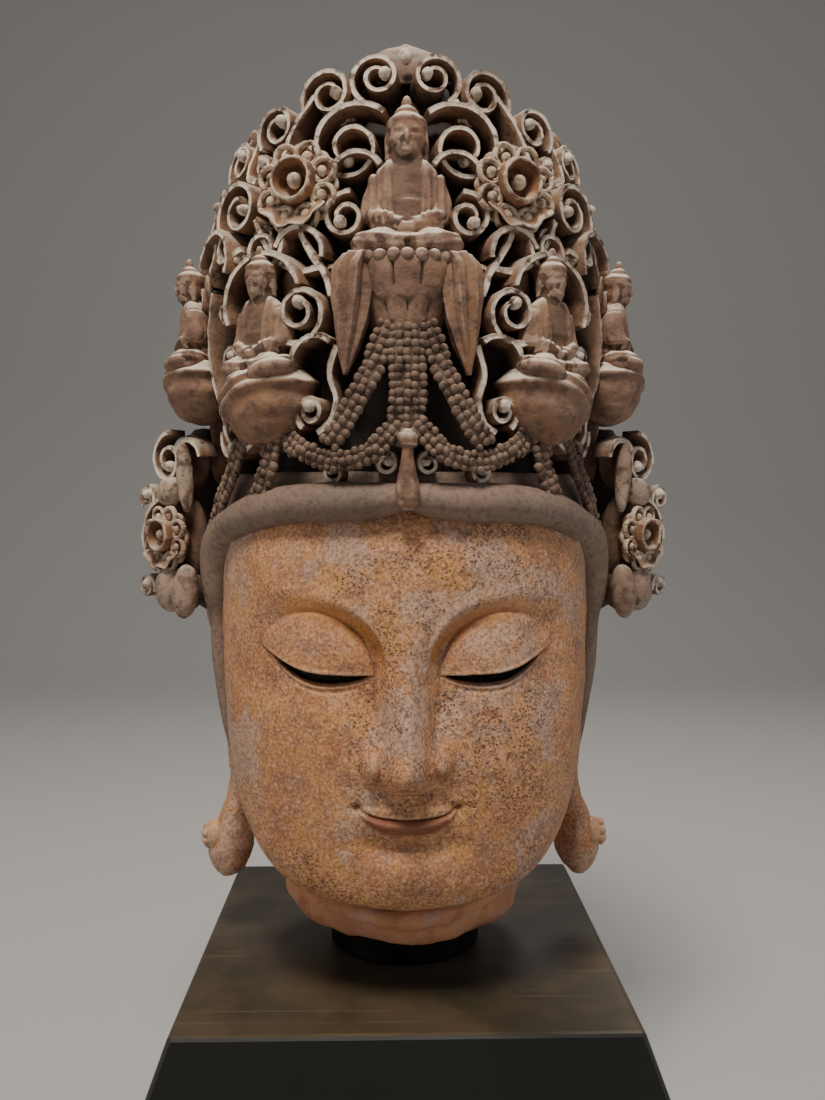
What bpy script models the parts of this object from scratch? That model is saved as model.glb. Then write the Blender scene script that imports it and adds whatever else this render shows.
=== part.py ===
"""Head of a bodhisattva in carved sandstone, with its tall openwork crown, on a round steel
collar and a tapered plinth. Metres, +Z up. The face looks along -Y and the origin is at the
middle of the plinth's underside.
"""

from math import cos, exp, pi, radians, sin

import bmesh
import bpy
from mathutils import Matrix, Vector

# Driving dimensions of the stand and of the stone.
PLINTH_TOP = 0.450
PLINTH_HEIGHT = 0.240
PLINTH_BATTER = 0.35  # how far each side runs out for each metre down
PLINTH_EDGE = 0.004
COLLAR_RADIUS = 0.085
COLLAR_HEIGHT = 0.050
COLLAR_EDGE = 0.003
HEAD_HEIGHT = 0.950
REST_GAP = 0.0003

# The carving is set out in parts of the stone's height, as a carver's canon does.
CANON = 95.0
PART = HEAD_HEIGHT / CANON
COLLAR_SEAT = PLINTH_HEIGHT + REST_GAP
STONE_SEAT = COLLAR_SEAT + COLLAR_HEIGHT + REST_GAP

# How finely the faceted solid follows the carving, in parts.
HEAD_COLUMNS = 112
SKIN_STEP = 0.34
FACETS_KEPT = 0.0182
FACE_CARE = 0.0003  # what a long facet on the face costs, so that the face keeps small ones


def material(name, colour, roughness, metallic=0.0):
    finish = bpy.data.materials.new(name)
    finish.use_nodes = True
    shader = finish.node_tree.nodes["Principled BSDF"]
    shader.inputs["Base Color"].default_value = (*colour, 1.0)
    shader.inputs["Roughness"].default_value = roughness
    shader.inputs["Metallic"].default_value = metallic
    finish.diffuse_color = (*colour, 1.0)
    return finish


def add_loft(bm, rings):
    """Adds a closed form through rings of equally many points, with flat ends."""
    rows = [[bm.verts.new(point) for point in ring] for ring in rings]
    sides = len(rows[0])
    faces = [bm.faces.new(rows[0][::-1]), bm.faces.new(rows[-1])]
    for low, high in zip(rows, rows[1:]):
        for i in range(sides):
            j = (i + 1) % sides
            faces.append(bm.faces.new((low[i], low[j], high[j], high[i])))
    bmesh.ops.recalc_face_normals(bm, faces=faces)


def finished_object(name, bm, finish):
    mesh = bpy.data.meshes.new(name)
    bm.to_mesh(mesh)
    bm.free()
    mesh.materials.append(finish)
    obj = bpy.data.objects.new(name, mesh)
    bpy.context.scene.collection.objects.link(obj)
    return obj


def carve(rings, stone):
    """Adds one closed form, given in parts, to the stone's mesh."""
    seat = Vector((0.0, 0.0, STONE_SEAT))
    add_loft(stone, [[Vector(point) * PART + seat for point in ring] for ring in rings])


def both_sides(rings, stone):
    """The same carved form on the stone's left and on its right."""
    carve(rings, stone)
    carve([[Vector((-p[0], p[1], p[2])) for p in ring] for ring in rings], stone)


def between(table, key, column=1):
    """Value of a column at a key, on a smooth line through rows whose first entry rises."""
    last = len(table) - 1
    if key <= table[0][0]:
        return table[0][column]
    if key >= table[last][0]:
        return table[last][column]
    i = max(n for n in range(last) if table[n][0] <= key)
    span = table[i + 1][0] - table[i][0]
    slopes = []
    for n in (i, i + 1):
        a, b = max(n - 1, 0), min(n + 1, last)
        slopes.append((table[b][column] - table[a][column]) / (table[b][0] - table[a][0]) * span)
    t = (key - table[i][0]) / span
    low, high = table[i][column], table[i + 1][column]
    bend = (t - 1.0) * (slopes[0] * (t - 1.0) + slopes[1] * t) * t
    return low + (high - low) * t * t * (3.0 - 2.0 * t) + bend


def rise(low, high, value):
    """Goes smoothly from 0 at the low value to 1 at the high one."""
    t = min(1.0, max(0.0, (value - low) / (high - low)))
    return t * t * (3.0 - 2.0 * t)


def hill(x, z, x0, z0, wide, tall):
    return exp(-(((x - x0) / wide) ** 2) - ((z - z0) / tall) ** 2)


def signed_power(value, power):
    return abs(value) ** power * (1 if value >= 0 else -1)


def oval(x, y, z, wide, deep, sides, power=2.0):
    """A level ring, round at power 2 and squarer above it, starting at the front."""
    ring = []
    for i in range(sides):
        turn = 2.0 * pi * i / sides
        across = wide * signed_power(sin(turn), 2.0 / power)
        ring.append(Vector((x + across, y - deep * signed_power(cos(turn), 2.0 / power), z)))
    return ring


# The head without its hair: height, half width, front, back, squareness.
HEAD_FORM = (
    (5.0, 2.8, -17.0, -12.5, 2.0),
    (5.3, 6.4, -18.4, -9.5, 2.2),
    (6.2, 10.6, -19.4, -6.0, 2.4),
    (8.4, 14.2, -19.9, -1.0, 2.5),
    (12.8, 17.2, -20.1, 5.5, 2.5),
    (17.8, 18.8, -20.1, 11.0, 2.5),
    (23.2, 19.5, -20.0, 14.5, 2.5),
    (28.2, 19.9, -19.8, 16.0, 2.5),
    (34.3, 20.0, -19.7, 16.6, 2.5),
    (40.0, 19.8, -19.2, 16.6, 2.5),
    (44.0, 19.2, -18.2, 16.0, 2.4),
    (48.0, 18.0, -16.6, 15.4, 2.3),
)

# The lines of the face, by distance from its middle.
EYE_SLIT = (
    (3.2, 28.35),
    (6.0, 28.45),
    (8.8, 28.65),
    (10.3, 28.95),
    (11.8, 29.5),
    (13.5, 30.4),
    (14.6, 31.1),
)
EYE_OPEN = (3.6, 13.0, 1.1)  # where the dark opening starts and ends, and its height
LID_FOLD = ((3.0, 28.8), (4.5, 32.0), (7.9, 34.2), (11.4, 34.1), (13.6, 32.7), (14.8, 31.4))
BROW = ((1.6, 28.0), (2.4, 31.4), (4.9, 34.3), (9.2, 35.9), (13.3, 35.9), (17.0, 34.8))
MOUTH_LINE = ((0.0, 14.8), (1.6, 14.9), (3.4, 15.2), (4.8, 15.9))
MOUTH_HALF = 4.8
LIP_TOP = ((0.0, 16.2), (1.3, 16.5), (3.2, 16.3), (5.0, 16.1))
LIP_FOOT = ((0.0, 13.3), (1.8, 13.4), (3.2, 14.0), (4.6, 15.3))

# The nose: height, how far it stands forward, half width.
NOSE = (
    (17.3, 0.0, 1.2),
    (17.7, 1.2, 1.4),
    (18.5, 3.4, 1.9),
    (19.7, 4.6, 2.2),
    (21.0, 4.6, 2.1),
    (23.2, 3.6, 1.8),
    (26.2, 2.6, 1.6),
    (30.0, 1.6, 1.7),
    (33.0, 0.9, 2.4),
    (36.5, 0.2, 4.5),
    (39.0, 0.0, 6.0),
)
EYE_INNER, EYE_OUTER = 3.2, 14.4


def eye_relief(x, z):
    """Socket, upper lid, dark slit and lower lid, at a width from the face's middle."""
    along = min(1.0, max(0.0, (x - EYE_INNER) / (EYE_OUTER - EYE_INNER)))
    swell = sin(pi * along) ** 0.6
    below_brow = between(BROW, x) - z
    # The socket's edge is crisp beside the nose and soft further out.
    soft = rise(4.0, 12.0, x)
    socket = rise(1.6, 3.2, x) * (1.0 - rise(13.0, 18.0, x))
    relief = 0.35 * socket * (1.0 - 0.7 * soft) * exp(-((below_brow + 0.3) ** 2) / 0.35)
    edge = rise(-0.3, 1.7 + 2.6 * soft, below_brow)
    relief -= (1.25 - 0.35 * soft) * socket * edge * (1.0 - rise(7.0, 12.0, below_brow))
    slit, fold = between(EYE_SLIT, x), between(LID_FOLD, x)
    if z >= slit:
        t = (z - slit) / max(fold - slit, 0.4)
        if t < 1.0:
            relief += 1.7 * swell * cos(pi / 2 * t) ** 0.9 * (0.9 + 0.35 * t)
    else:
        inner, outer, high = EYE_OPEN
        open_here = high * sin(pi * min(1.0, max(0.0, (x - inner) / (outer - inner)))) ** 0.7
        drop = slit - z
        relief += 0.9 * swell * rise(open_here - 0.4, open_here + 0.4, drop) * exp(-((drop / 3.0) ** 2))
        relief -= 0.6 * (1.0 - rise(open_here - 0.2, open_here + 0.2, drop)) * rise(0.1, 0.5, open_here)
    return relief


def nose_relief(x, z):
    height, wide = between(NOSE, z, 1), between(NOSE, z, 2)
    ridge = height * (0.72 * exp(-((x / wide) ** 2.4)) + 0.28 * exp(-((x / (2.1 * wide)) ** 2)))
    wing = 2.2 * exp(-((((x - 3.15) / 1.2) ** 2 + ((z - 20.3) / 1.7) ** 2) ** 1.1))
    return max(ridge, wing)


def mouth_relief(x, z):
    line, top, foot = between(MOUTH_LINE, x), between(LIP_TOP, x), between(LIP_FOOT, x)
    relief = 0.9 * hill(x, z, 0.0, 15.8, 6.5, 4.2)
    if x < MOUTH_HALF:
        ends = (1.0 - (x / MOUTH_HALF) ** 2) ** 0.5
        if line < z < top:
            relief += 0.45 * ends * (1.0 - ((z - line) / (top - line)) ** 2)
        elif foot < z <= line:
            relief += 0.85 * ends * (1.0 - ((line - z) / (line - foot)) ** 3)
        relief -= 0.6 * ends * exp(-(((z - line) / 0.3) ** 2))
    relief -= 0.6 * hill(x, z, MOUTH_HALF, 15.9, 0.6, 0.5)
    return relief


def face_relief(x, z):
    """How far the face stands forward of the plain form, at a width and a height."""
    x = abs(x)
    relief = 0.5 * hill(x, z, 0.0, 39.5, 9.0, 5.0) + eye_relief(x, z) + nose_relief(x, z)
    relief += mouth_relief(x, z) - 0.8 * hill(x, z, 0.0, 12.2, 4.5, 1.1)
    relief += 1.0 * hill(x, z, 0.0, 9.2, 4.4, 2.8) + 0.6 * hill(x, z, 10.5, 20.5, 5.5, 5.5)
    return relief


def head_ring(z, columns):
    wide, front, back, power = (between(HEAD_FORM, z, column) for column in (1, 2, 3, 4))
    ring = []
    for i in range(columns):
        share = i / columns
        # More columns on the face than behind it.
        turn = 2.0 * pi * share - 0.40 * sin(2.0 * pi * share) - 0.06 * sin(4.0 * pi * share)
        x = wide * signed_power(sin(turn), 2.0 / power)
        reach = signed_power(cos(turn), 2.0 / power)
        y = (front + back) / 2 - (back - front) / 2 * reach
        if cos(turn) > 0.0:
            y -= face_relief(x, z) * rise(0.0, 0.45, cos(turn))
        ring.append(Vector((x, y, z)))
    return ring


def carve_head(stone):
    low = [row[0] for row in HEAD_FORM if row[0] < 6.0]
    high = [43.5, 46.0, 48.0]
    fine = [6.2 + 0.42 * i for i in range(88)]
    carve([head_ring(z, HEAD_COLUMNS) for z in low + fine + high], stone)


# The broken neck, from its underside up: height, radius.
NECK_FORM = ((0.0, 11.0), (0.4, 12.4), (1.3, 13.4), (3.2, 13.9), (5.0, 13.4), (9.0, 12.8), (16.0, 13.0))
NECK_FORWARD, NECK_BACK = 1.2, 0.95  # its depth before and behind, for each part of radius
CHIN_ROLL = (
    (-10.8, -10.4, 6.0),
    (-6.4, -14.8, 4.6),
    (0.0, -16.9, 3.8),
    (6.4, -14.8, 4.6),
    (10.8, -10.4, 6.0),
)


def carve_neck(stone):
    rings = []
    for z, radius in NECK_FORM:
        ring = oval(0.0, 0.0, z, radius, radius, 40)
        broken = 0.35 if 0.0 < z < 5.0 else 0.0
        for i, point in enumerate(ring):
            point.y *= NECK_FORWARD if point.y < 0.0 else NECK_BACK
            turn = 2.0 * pi * i / 40
            point.xy *= 1.0 + broken * 0.06 * (sin(3.0 * turn + 1.0) + sin(7.0 * turn + z))
        rings.append(ring)
    carve(rings, stone)
    carve(roll(CHIN_ROLL, [(1.1, 1.3)] * len(CHIN_ROLL), 10), stone)


def sweep(path, sections):
    """Rings along a path of points with outward directions. A section lists across and out."""
    rings = []
    for i, (point, outward) in enumerate(path):
        ahead = path[min(i + 1, len(path) - 1)][0] - path[max(i - 1, 0)][0]
        ahead.normalize()
        across = ahead.cross(outward).normalized()
        out = across.cross(ahead)
        rings.append([point + across * u + out * v for u, v in sections[i]])
    return rings


def round_section(wide, deep, sides):
    turns = [2.0 * pi * (i + 0.5) / sides for i in range(sides)]
    return [(wide * cos(turn), deep * sin(turn)) for turn in turns]


def roll(points, sizes, sides=9):
    """A lock or a strand along points round the head, by its half widths."""
    path = [(Vector(p), Vector((p[0], p[1], 0.0)).normalized()) for p in points]
    return sweep(path, [round_section(wide, deep, sides) for wide, deep in sizes])


# The hair behind the ears and under the crown: height, half width, half depth.
HAIR_FORM = (
    (14.0, 9.0, 8.0),
    (16.0, 13.6, 12.0),
    (19.0, 16.2, 14.4),
    (24.0, 18.2, 16.2),
    (32.0, 19.9, 17.6),
    (40.0, 20.7, 18.4),
    (46.0, 21.0, 18.6),
    (48.0, 20.6, 18.2),
)
HAIR_MIDDLE = 1.2
FOREHEAD_ROLL = (
    (0.0, -18.7, 45.5, 1.3),
    (2.5, -18.9, 45.2, 1.7),
    (6.5, -18.3, 45.0, 1.9),
    (11.0, -16.7, 44.8, 1.9),
    (15.0, -13.8, 44.0, 1.9),
    (18.0, -10.6, 42.6, 1.7),
)
TEMPLE_LOCK = (
    (15.8, -12.4, 43.8, 1.4),
    (18.6, -9.2, 42.4, 1.9),
    (20.0, -6.4, 39.8, 2.1),
    (20.4, -5.2, 36.0, 1.8),
    (20.4, -4.4, 32.8, 1.2),
    (20.2, -3.8, 27.0, 1.0),
    (19.7, -3.2, 21.5, 0.85),
    (19.2, -2.8, 17.0, 0.5),
)


def carve_hair(stone):
    """The roll over the forehead, the lock down each temple and the hair behind."""
    left = [(-x, y, z, size) for x, y, z, size in FOREHEAD_ROLL[:0:-1]]
    rows = left + list(FOREHEAD_ROLL)
    carve(roll([row[:3] for row in rows], [(row[3], 2.1) for row in rows], 12), stone)
    sizes = [(row[3], row[3]) for row in TEMPLE_LOCK]
    both_sides(roll([row[:3] for row in TEMPLE_LOCK], sizes, 10), stone)
    carve([oval(0.0, HAIR_MIDDLE, z, w, d, 40, 2.2) for z, w, d in HAIR_FORM], stone)


# The ear and its long lobe: height, middle across, half width, half depth.
EAR_FORM = (
    (39.0, 20.0, 0.8, 1.4),
    (36.5, 20.9, 1.4, 3.2),
    (30.0, 20.6, 1.4, 3.7),
    (23.0, 19.9, 1.3, 3.1),
    (17.0, 19.2, 1.1, 2.4),
    (12.0, 19.3, 1.2, 2.3),
    (8.0, 19.9, 2.1, 2.7),
    (5.0, 20.3, 2.6, 2.8),
    (2.8, 20.5, 1.9, 2.1),
    (1.6, 20.6, 0.7, 0.9),
)
EAR_BACK = 1.6
# The rim round the ear, by points, with its radius.
EAR_RIM = (
    (21.6, -0.6, 31.0, 0.6),
    (21.9, -0.9, 35.0, 0.7),
    (21.9, 0.6, 38.4, 0.75),
    (21.8, 3.4, 37.6, 0.8),
    (21.7, 4.9, 33.0, 0.75),
    (21.3, 4.4, 27.0, 0.7),
    (20.6, 3.4, 21.0, 0.6),
)


def upright_disc(centre, radius, sides):
    turns = [2.0 * pi * i / sides for i in range(sides)]
    return [centre + Vector((0.0, radius * cos(turn), radius * sin(turn))) for turn in turns]


def carve_ears(stone):
    both_sides([oval(x, EAR_BACK, z, w, d, 14) for z, x, w, d in EAR_FORM], stone)
    both_sides(roll([row[:3] for row in EAR_RIM], [(row[3], row[3]) for row in EAR_RIM], 8), stone)
    centre = Vector((22.3, EAR_BACK - 0.8, 6.6))
    stud = ((-1.0, 1.6), (0.2, 1.6), (0.7, 1.0), (0.8, 0.4))
    both_sides([upright_disc(centre + Vector((x, 0, 0)), r, 12) for x, r in stud], stone)


# The crown's outer surface: height, half width, front depth, back depth.
CROWN_FORM = (
    (44.0, 20.8, 19.4, 17.6),
    (48.0, 21.6, 19.8, 17.8),
    (53.0, 22.6, 20.1, 17.8),
    (58.0, 23.4, 20.3, 17.6),
    (63.0, 23.6, 20.2, 17.2),
    (68.0, 23.2, 19.6, 16.6),
    (73.0, 22.3, 18.6, 15.8),
    (78.0, 20.9, 17.2, 14.6),
    (83.0, 18.8, 15.3, 13.0),
    (87.0, 16.2, 13.2, 11.0),
    (90.0, 13.4, 11.0, 9.0),
    (92.5, 10.0, 8.3, 6.6),
    (94.0, 6.5, 5.5, 4.2),
    (95.0, 1.5, 1.4, 1.0),
)
CARVING_DEPTH = 3.2
RIBBON_DEPTH = CARVING_DEPTH + 0.3
OPENWORK_END = 118.0  # degrees round from the front, where the back's plain stone begins


def crown_point(angle, z, out=0.0):
    """A point on the crown's outer surface, at an angle from the front in degrees."""
    turn = radians(angle)
    wide = between(CROWN_FORM, z, 1) + out
    deep = between(CROWN_FORM, z, 2 if cos(turn) > 0 else 3) + out
    return Vector((wide * sin(turn), -deep * cos(turn), z))


def crown_frame(angle, z):
    """A place on the crown, with across, up and outward. The front's carving stands upright."""
    upright = 0.15 + 0.75 * rise(45.0, 80.0, angle)
    here = crown_point(angle, z, -0.5 * rise(50.0, 75.0, angle))
    across = (crown_point(angle + 1.0, z) - crown_point(angle - 1.0, z)).normalized()
    level = across.cross(Vector((0.0, 0.0, 1.0)))
    slope = crown_point(angle, z - 1.0) - crown_point(angle, z + 1.0)
    lean = slope.dot(level) / 2.0
    out = (level + Vector((0.0, 0.0, lean * upright))).normalized()
    return here, across, out.cross(across), out


def carve_crown_core(stone):
    rings = []
    for z, _, _, _ in CROWN_FORM:
        ring = []
        for i in range(48):
            angle = 360.0 * i / 48
            behind = rise(OPENWORK_END - 10, OPENWORK_END + 15, 180 - abs(180 - angle))
            depth = CARVING_DEPTH * (1.0 - 0.8 * behind)
            point = crown_point(angle, z, -min(depth, 0.8 * between(CROWN_FORM, z, 3)))
            point.z -= 0.5 * depth * rise(70.0, 95.0, z)
            ring.append(point)
        rings.append(ring)
    carve(rings, stone)


# Scrolls of the crown's left half: angle, height, radius, way round, end of the spiral, turns.
SCROLLS = (
    (10.5, 87.6, 2.9, -1, 300, 1.6),
    (27.5, 86.0, 3.1, -1, 325, 1.6),
    (44.0, 83.0, 2.7, -1, 320, 1.5),
    (60.0, 80.4, 2.5, -1, 320, 1.4),
    (15.5, 79.4, 4.6, 1, 136, 1.6),
    (51.0, 74.6, 3.5, -1, 330, 1.6),
    (15.0, 72.2, 2.4, 1, 100, 1.4),
    (26.0, 63.2, 3.2, 1, 303, 1.6),
    (24.0, 53.6, 1.7, -1, 300, 1.4),
    (51.0, 51.5, 2.4, 1, 20, 1.3),
    (74.0, 66.5, 2.8, 1, 100, 1.4),
    (76.0, 77.0, 3.0, -1, 200, 1.5),
    (84.0, 70.5, 2.6, 1, 200, 1.4),
    (80.0, 84.5, 2.6, -1, 200, 1.4),
    (38.0, 69.8, 2.6, -1, 150, 1.3),
    (92.0, 59.5, 3.4, 1, 120, 1.6),
    (97.0, 79.0, 3.2, -1, 200, 1.6),
    (99.0, 70.0, 3.6, 1, 200, 1.6),
    (108.0, 62.0, 3.4, -1, 200, 1.6),
    (106.0, 52.5, 3.4, 1, 200, 1.6),
    (104.0, 86.5, 2.6, -1, 200, 1.5),
)
SCROLL_GROWTH = 2.2  # how much wider each turn is than the last
SCROLL_STEPS = 22
RIM = 0.30
RIM_PROUD = 0.15

# Plain arches of ribbon: angle, height, radius, from, to, in degrees round the arch.
ARCHES = (
    (37.0, 64.6, 4.6, 165, -25),
    (27.0, 68.8, 2.6, 190, 20),
    (22.0, 58.4, 2.4, 130, -10),
    (47.0, 52.8, 2.6, 175, 375),
    (62.0, 69.5, 3.6, 200, 10),
    (13.0, 76.0, 2.6, 150, -20),
    (88.0, 50.5, 3.0, 160, 400),
)


def scroll_path(angle, z, radius, way, end, turns):
    """Points of one scroll from its eye outwards, standing on the crown's surface."""
    centre, across, up, out = crown_frame(angle, z)
    path = []
    for i in range(SCROLL_STEPS + 1):
        left = turns * (1.0 - i / SCROLL_STEPS)
        turn = radians(end) - way * 2.0 * pi * left
        reach = radius * SCROLL_GROWTH**-left
        path.append((centre + (across * cos(turn) + up * sin(turn)) * reach, out))
    return path


def arch_path(angle, z, radius, start, end):
    centre, across, up, out = crown_frame(angle, z)
    turns = [radians(start + (end - start) * i / 12) for i in range(13)]
    return [(centre + (across * cos(turn) + up * sin(turn)) * radius, out) for turn in turns]


def ribbon(path, depth, stone):
    section = [(-RIM, -depth), (RIM, -depth), (RIM, RIM_PROUD), (-RIM, RIM_PROUD)]
    both_sides(sweep(path, [section] * len(path)), stone)


def carve_scrolls(stone):
    for angle, z, radius, way, end, turns in SCROLLS:
        path = scroll_path(angle, z, radius, way, end, turns)
        ribbon(path, RIBBON_DEPTH, stone)
        knob, out = path[0][0], path[0][1]
        across = out.cross(Vector((0.0, 0.0, 1.0))).normalized()
        up = across.cross(out)
        eye = ((-3.6, 0.5), (-0.2, 0.5), (0.2, 0.4), (0.4, 0.2))
        both_sides([facing_ring(knob + out * o, across, up, r, r, 8) for o, r in eye], stone)
    for angle, z, radius, start, end in ARCHES:
        ribbon(arch_path(angle, z, radius, start, end), RIBBON_DEPTH, stone)


def facing_ring(centre, across, up, wide, tall, sides, lobes=0, lobe_depth=0.0):
    ring = []
    for i in range(sides):
        turn = 2.0 * pi * i / sides
        reach = 1.0 + lobe_depth * cos(lobes * turn)
        ring.append(centre + across * (wide * reach * cos(turn)) + up * (tall * reach * sin(turn)))
    return ring


def carve_crest(stone):
    """The pointed leaf that stands behind the topmost pair of scrolls."""
    leaf = ((89.0, 5.4, -9.4), (91.4, 4.6, -7.2), (93.0, 3.2, -5.4), (94.3, 1.5, -3.8), (95.0, 0.3, -3.0))
    carve([oval(0.0, y, z, half, 1.1, 10) for z, half, y in leaf], stone)
    carve(ball(0.0, -10.6, 90.4, 0.7, 0.7, 0.8), stone)


def ball(x, y, z, wide, deep, tall, sides=10, rows=6):
    rings = []
    for i in range(rows + 1):
        turn = pi * (0.04 + 0.92 * i / rows)
        rings.append(oval(x, y, z - tall * cos(turn), wide * sin(turn), deep * sin(turn), sides))
    return rings


def place(rings, angle, origin, size, lean=0.0):
    """Turns a form that faces -Y to face outward at an angle, leans it out and sets it down."""
    turned = Matrix.Rotation(radians(angle), 3, "Z")
    leant = Matrix(((1, 0, 0), (0, 1, -lean), (0, 0, 1)))
    return [[turned @ (leant @ Vector(p) * size) + origin for p in ring] for ring in rings]


# A seated figure, from its seat up: height, half width, half depth, how far forward.
LAP = (
    (-1.0, 3.8, 2.6, 0.9),
    (0.0, 5.0, 3.1, 1.0),
    (1.0, 5.0, 3.0, 0.9),
    (1.8, 3.5, 2.6, 0.6),
    (2.3, 2.4, 1.8, 0.2),
)
TORSO = (
    (0.0, 3.1, 2.3, 0.3),
    (2.0, 3.3, 2.3, 0.2),
    (4.0, 3.3, 2.2, 0.1),
    (5.6, 3.1, 2.0, 0.0),
    (6.7, 2.7, 1.7, 0.0),
    (7.4, 2.1, 1.4, 0.0),
    (8.2, 1.5, 1.2, 0.1),
)
ARM = (
    (2.3, 0.1, 6.2, 1.1),
    (2.7, 0.0, 4.9, 1.25),
    (2.8, -0.3, 3.2, 1.3),
    (2.5, -1.3, 2.3, 1.1),
    (0.6, -2.8, 2.2, 0.8),
)
FACE = (
    (7.7, 0.9, 0.9, 0.6),
    (8.2, 1.3, 1.4, 0.5),
    (9.3, 1.65, 1.7, 0.4),
    (10.6, 1.6, 1.7, 0.2),
    (11.4, 1.2, 1.3, 0.1),
)
HOOD = (
    (8.0, 1.6, 1.1, -0.4),
    (9.4, 2.05, 1.5, -0.3),
    (10.6, 2.0, 1.9, -0.2),
    (11.6, 1.6, 1.7, -0.3),
    (12.2, 1.0, 1.0, -0.3),
    (13.0, 0.6, 0.6, -0.3),
    (13.9, 0.2, 0.2, -0.3),
)


def figure_forms():
    """The closed forms of a small seated figure, one unit for each part."""
    forms = [[oval(0, -f, z, w, d, 16) for z, w, d, f in table] for table in (LAP, TORSO, FACE, HOOD)]
    for side in (-1, 1):
        path = [(Vector((side * x, y, z)), Vector((side, -0.6, 0.0))) for x, y, z, _ in ARM]
        forms.append(sweep(path, [round_section(size, size, 8) for _, _, _, size in ARM]))
    return forms


def carve_central_figure(stone):
    """The seated Buddha at the front, on a lotus with cloth hanging at each side."""
    origin = Vector((0.0, -17.2, 69.0))
    for rings in figure_forms():
        carve(place(rings, 0.0, origin, 1.08), stone)
    lotus = (
        (68.8, 4.8, 3.3),
        (67.8, 5.3, 3.8),
        (65.6, 5.0, 3.7),
        (62.6, 3.9, 3.2),
        (60.0, 2.7, 2.5),
        (57.2, 1.6, 2.0),
    )
    carve([oval(0.0, -17.8, z, w, d, 16) for z, w, d in lotus], stone)
    cloth = (
        (68.6, 4.2, 1.5, 1.2),
        (67.2, 5.0, 1.9, 1.6),
        (64.2, 5.1, 1.9, 1.6),
        (61.2, 5.3, 1.4, 1.2),
        (58.8, 5.6, 0.9, 0.8),
        (57.0, 5.8, 0.25, 0.3),
    )
    both_sides([oval(x, -19.6, z, w, d, 12) for z, x, w, d in cloth], stone)


# The round cloud seat under each side figure: height, radius.
CLOUD_SEAT = ((-7.6, 0.8), (-7.1, 2.4), (-6.0, 3.8), (-4.2, 4.7), (-2.2, 4.9), (-0.8, 4.5), (0.0, 3.4))
SIDE_FIGURES = (
    (38.0, Vector((13.6, -14.8, 58.0)), 0.86, 1.0),
    (78.0, Vector((22.2, -5.0, 60.0)), 0.81, 0.86),
)
FIGURE_LEAN = 0.12
# Leaves behind each side figure, and the knee that lies over its seat: middle, half sizes.
LEAVES_BEHIND = ((Vector((-2.6, 2.3, 9.4)), 1.5, 0.9, 2.1), (Vector((2.9, 2.9, 6.4)), 1.1, 1.0, 3.6))
KNEE = (Vector((-2.5, -2.4, -0.5)), 2.7, 2.3, 1.2)


def lozenge(middle, wide, deep, tall):
    """Rings of a rounded lump that faces -Y."""
    back, forward = Vector((0.0, deep, 0.0)), Vector((0.0, -deep, 0.0))
    steps = ((back, 0.3), (back * 0.7, 0.75), (Vector(), 1.0), (forward * 0.7, 0.75), (forward, 0.3))
    across, up = Vector((1.0, 0.0, 0.0)), Vector((0.0, 0.0, 1.0))
    return [facing_ring(middle + by, across, up, wide * share, tall * share, 12) for by, share in steps]


def carve_side_figures(stone):
    for angle, origin, size, seat_size in SIDE_FIGURES:
        for rings in figure_forms():
            both_sides(place(rings, angle, origin, size, FIGURE_LEAN), stone)
        seat = [oval(0, 0.2, z, r, r * 0.9, 16) for z, r in CLOUD_SEAT]
        both_sides(place(seat, angle, origin, seat_size), stone)
        for middle, wide, deep, tall in LEAVES_BEHIND + (KNEE,):
            both_sides(place(lozenge(middle, wide, deep, tall), angle, origin, size, FIGURE_LEAN), stone)


# The open flower: distance outward, radius, how deeply its edge is lobed.
FLOWER_FORM = ((-3.4, 1.2, 0.0), (-1.2, 2.8, 0.04), (0.9, 4.3, 0.10), (1.5, 4.2, 0.10), (0.8, 2.6, 0.0))
FLOWER_CUP = ((-0.5, 1.9), (1.9, 2.3), (2.2, 1.9), (0.6, 1.5))
FLOWER_BOSS = ((0.0, 0.8), (1.2, 0.8), (1.6, 0.4))


def carve_flower(centre, across, up, out, size, stone):
    petals = [
        facing_ring(centre + out * (o * size), across, up, r * size, r * size * 1.08, 32, 8, lobed)
        for o, r, lobed in FLOWER_FORM
    ]
    both_sides(petals, stone)
    middle = centre + up * (0.6 * size)
    cup = [facing_ring(middle + out * (o * size), across, up, r * size, r * size, 16) for o, r in FLOWER_CUP]
    both_sides(cup, stone)
    boss = []
    for o, r in FLOWER_BOSS:
        boss.append(facing_ring(middle + out * (o * size), across, up, r * size, r * size, 10))
    both_sides(boss, stone)


def carve_flowers(stone):
    carve_flower(*crown_frame(28.5, 75.4), 1.0, stone)


# Strands of beads by their points, with the half width and half depth of each.
STRANDS = (
    (((1.8, -20.3, 61.5), (3.6, -20.6, 57.0), (5.6, -20.4, 53.2), (7.4, -19.8, 50.6)), 1.25, 0.9),
    (
        (
            (1.0, -20.8, 52.2),
            (3.6, -20.9, 49.6),
            (7.0, -20.0, 48.8),
            (10.4, -18.0, 50.2),
            (12.4, -16.2, 52.4),
        ),
        1.1,
        0.8,
    ),
    (((12.6, -16.2, 53.0), (13.4, -16.0, 50.0), (14.2, -15.6, 46.8), (15.4, -14.2, 44.2)), 1.3, 0.9),
    (((16.4, -13.6, 51.4), (18.2, -11.8, 47.4), (20.0, -9.0, 43.6), (21.4, -6.4, 40.2)), 1.2, 0.9),
)
BEAD_COLUMN = ((62.4, 1.4, 1.2), (59.0, 2.1, 1.4), (55.0, 1.8, 1.3), (51.0, 1.5, 1.1), (50.2, 0.8, 0.8))
PENDANT = (
    (51.8, 0.4),
    (51.3, 0.9),
    (50.4, 0.9),
    (50.0, 0.6),
    (48.0, 0.8),
    (46.2, 1.15),
    (45.0, 1.0),
    (44.3, 0.5),
)


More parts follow.
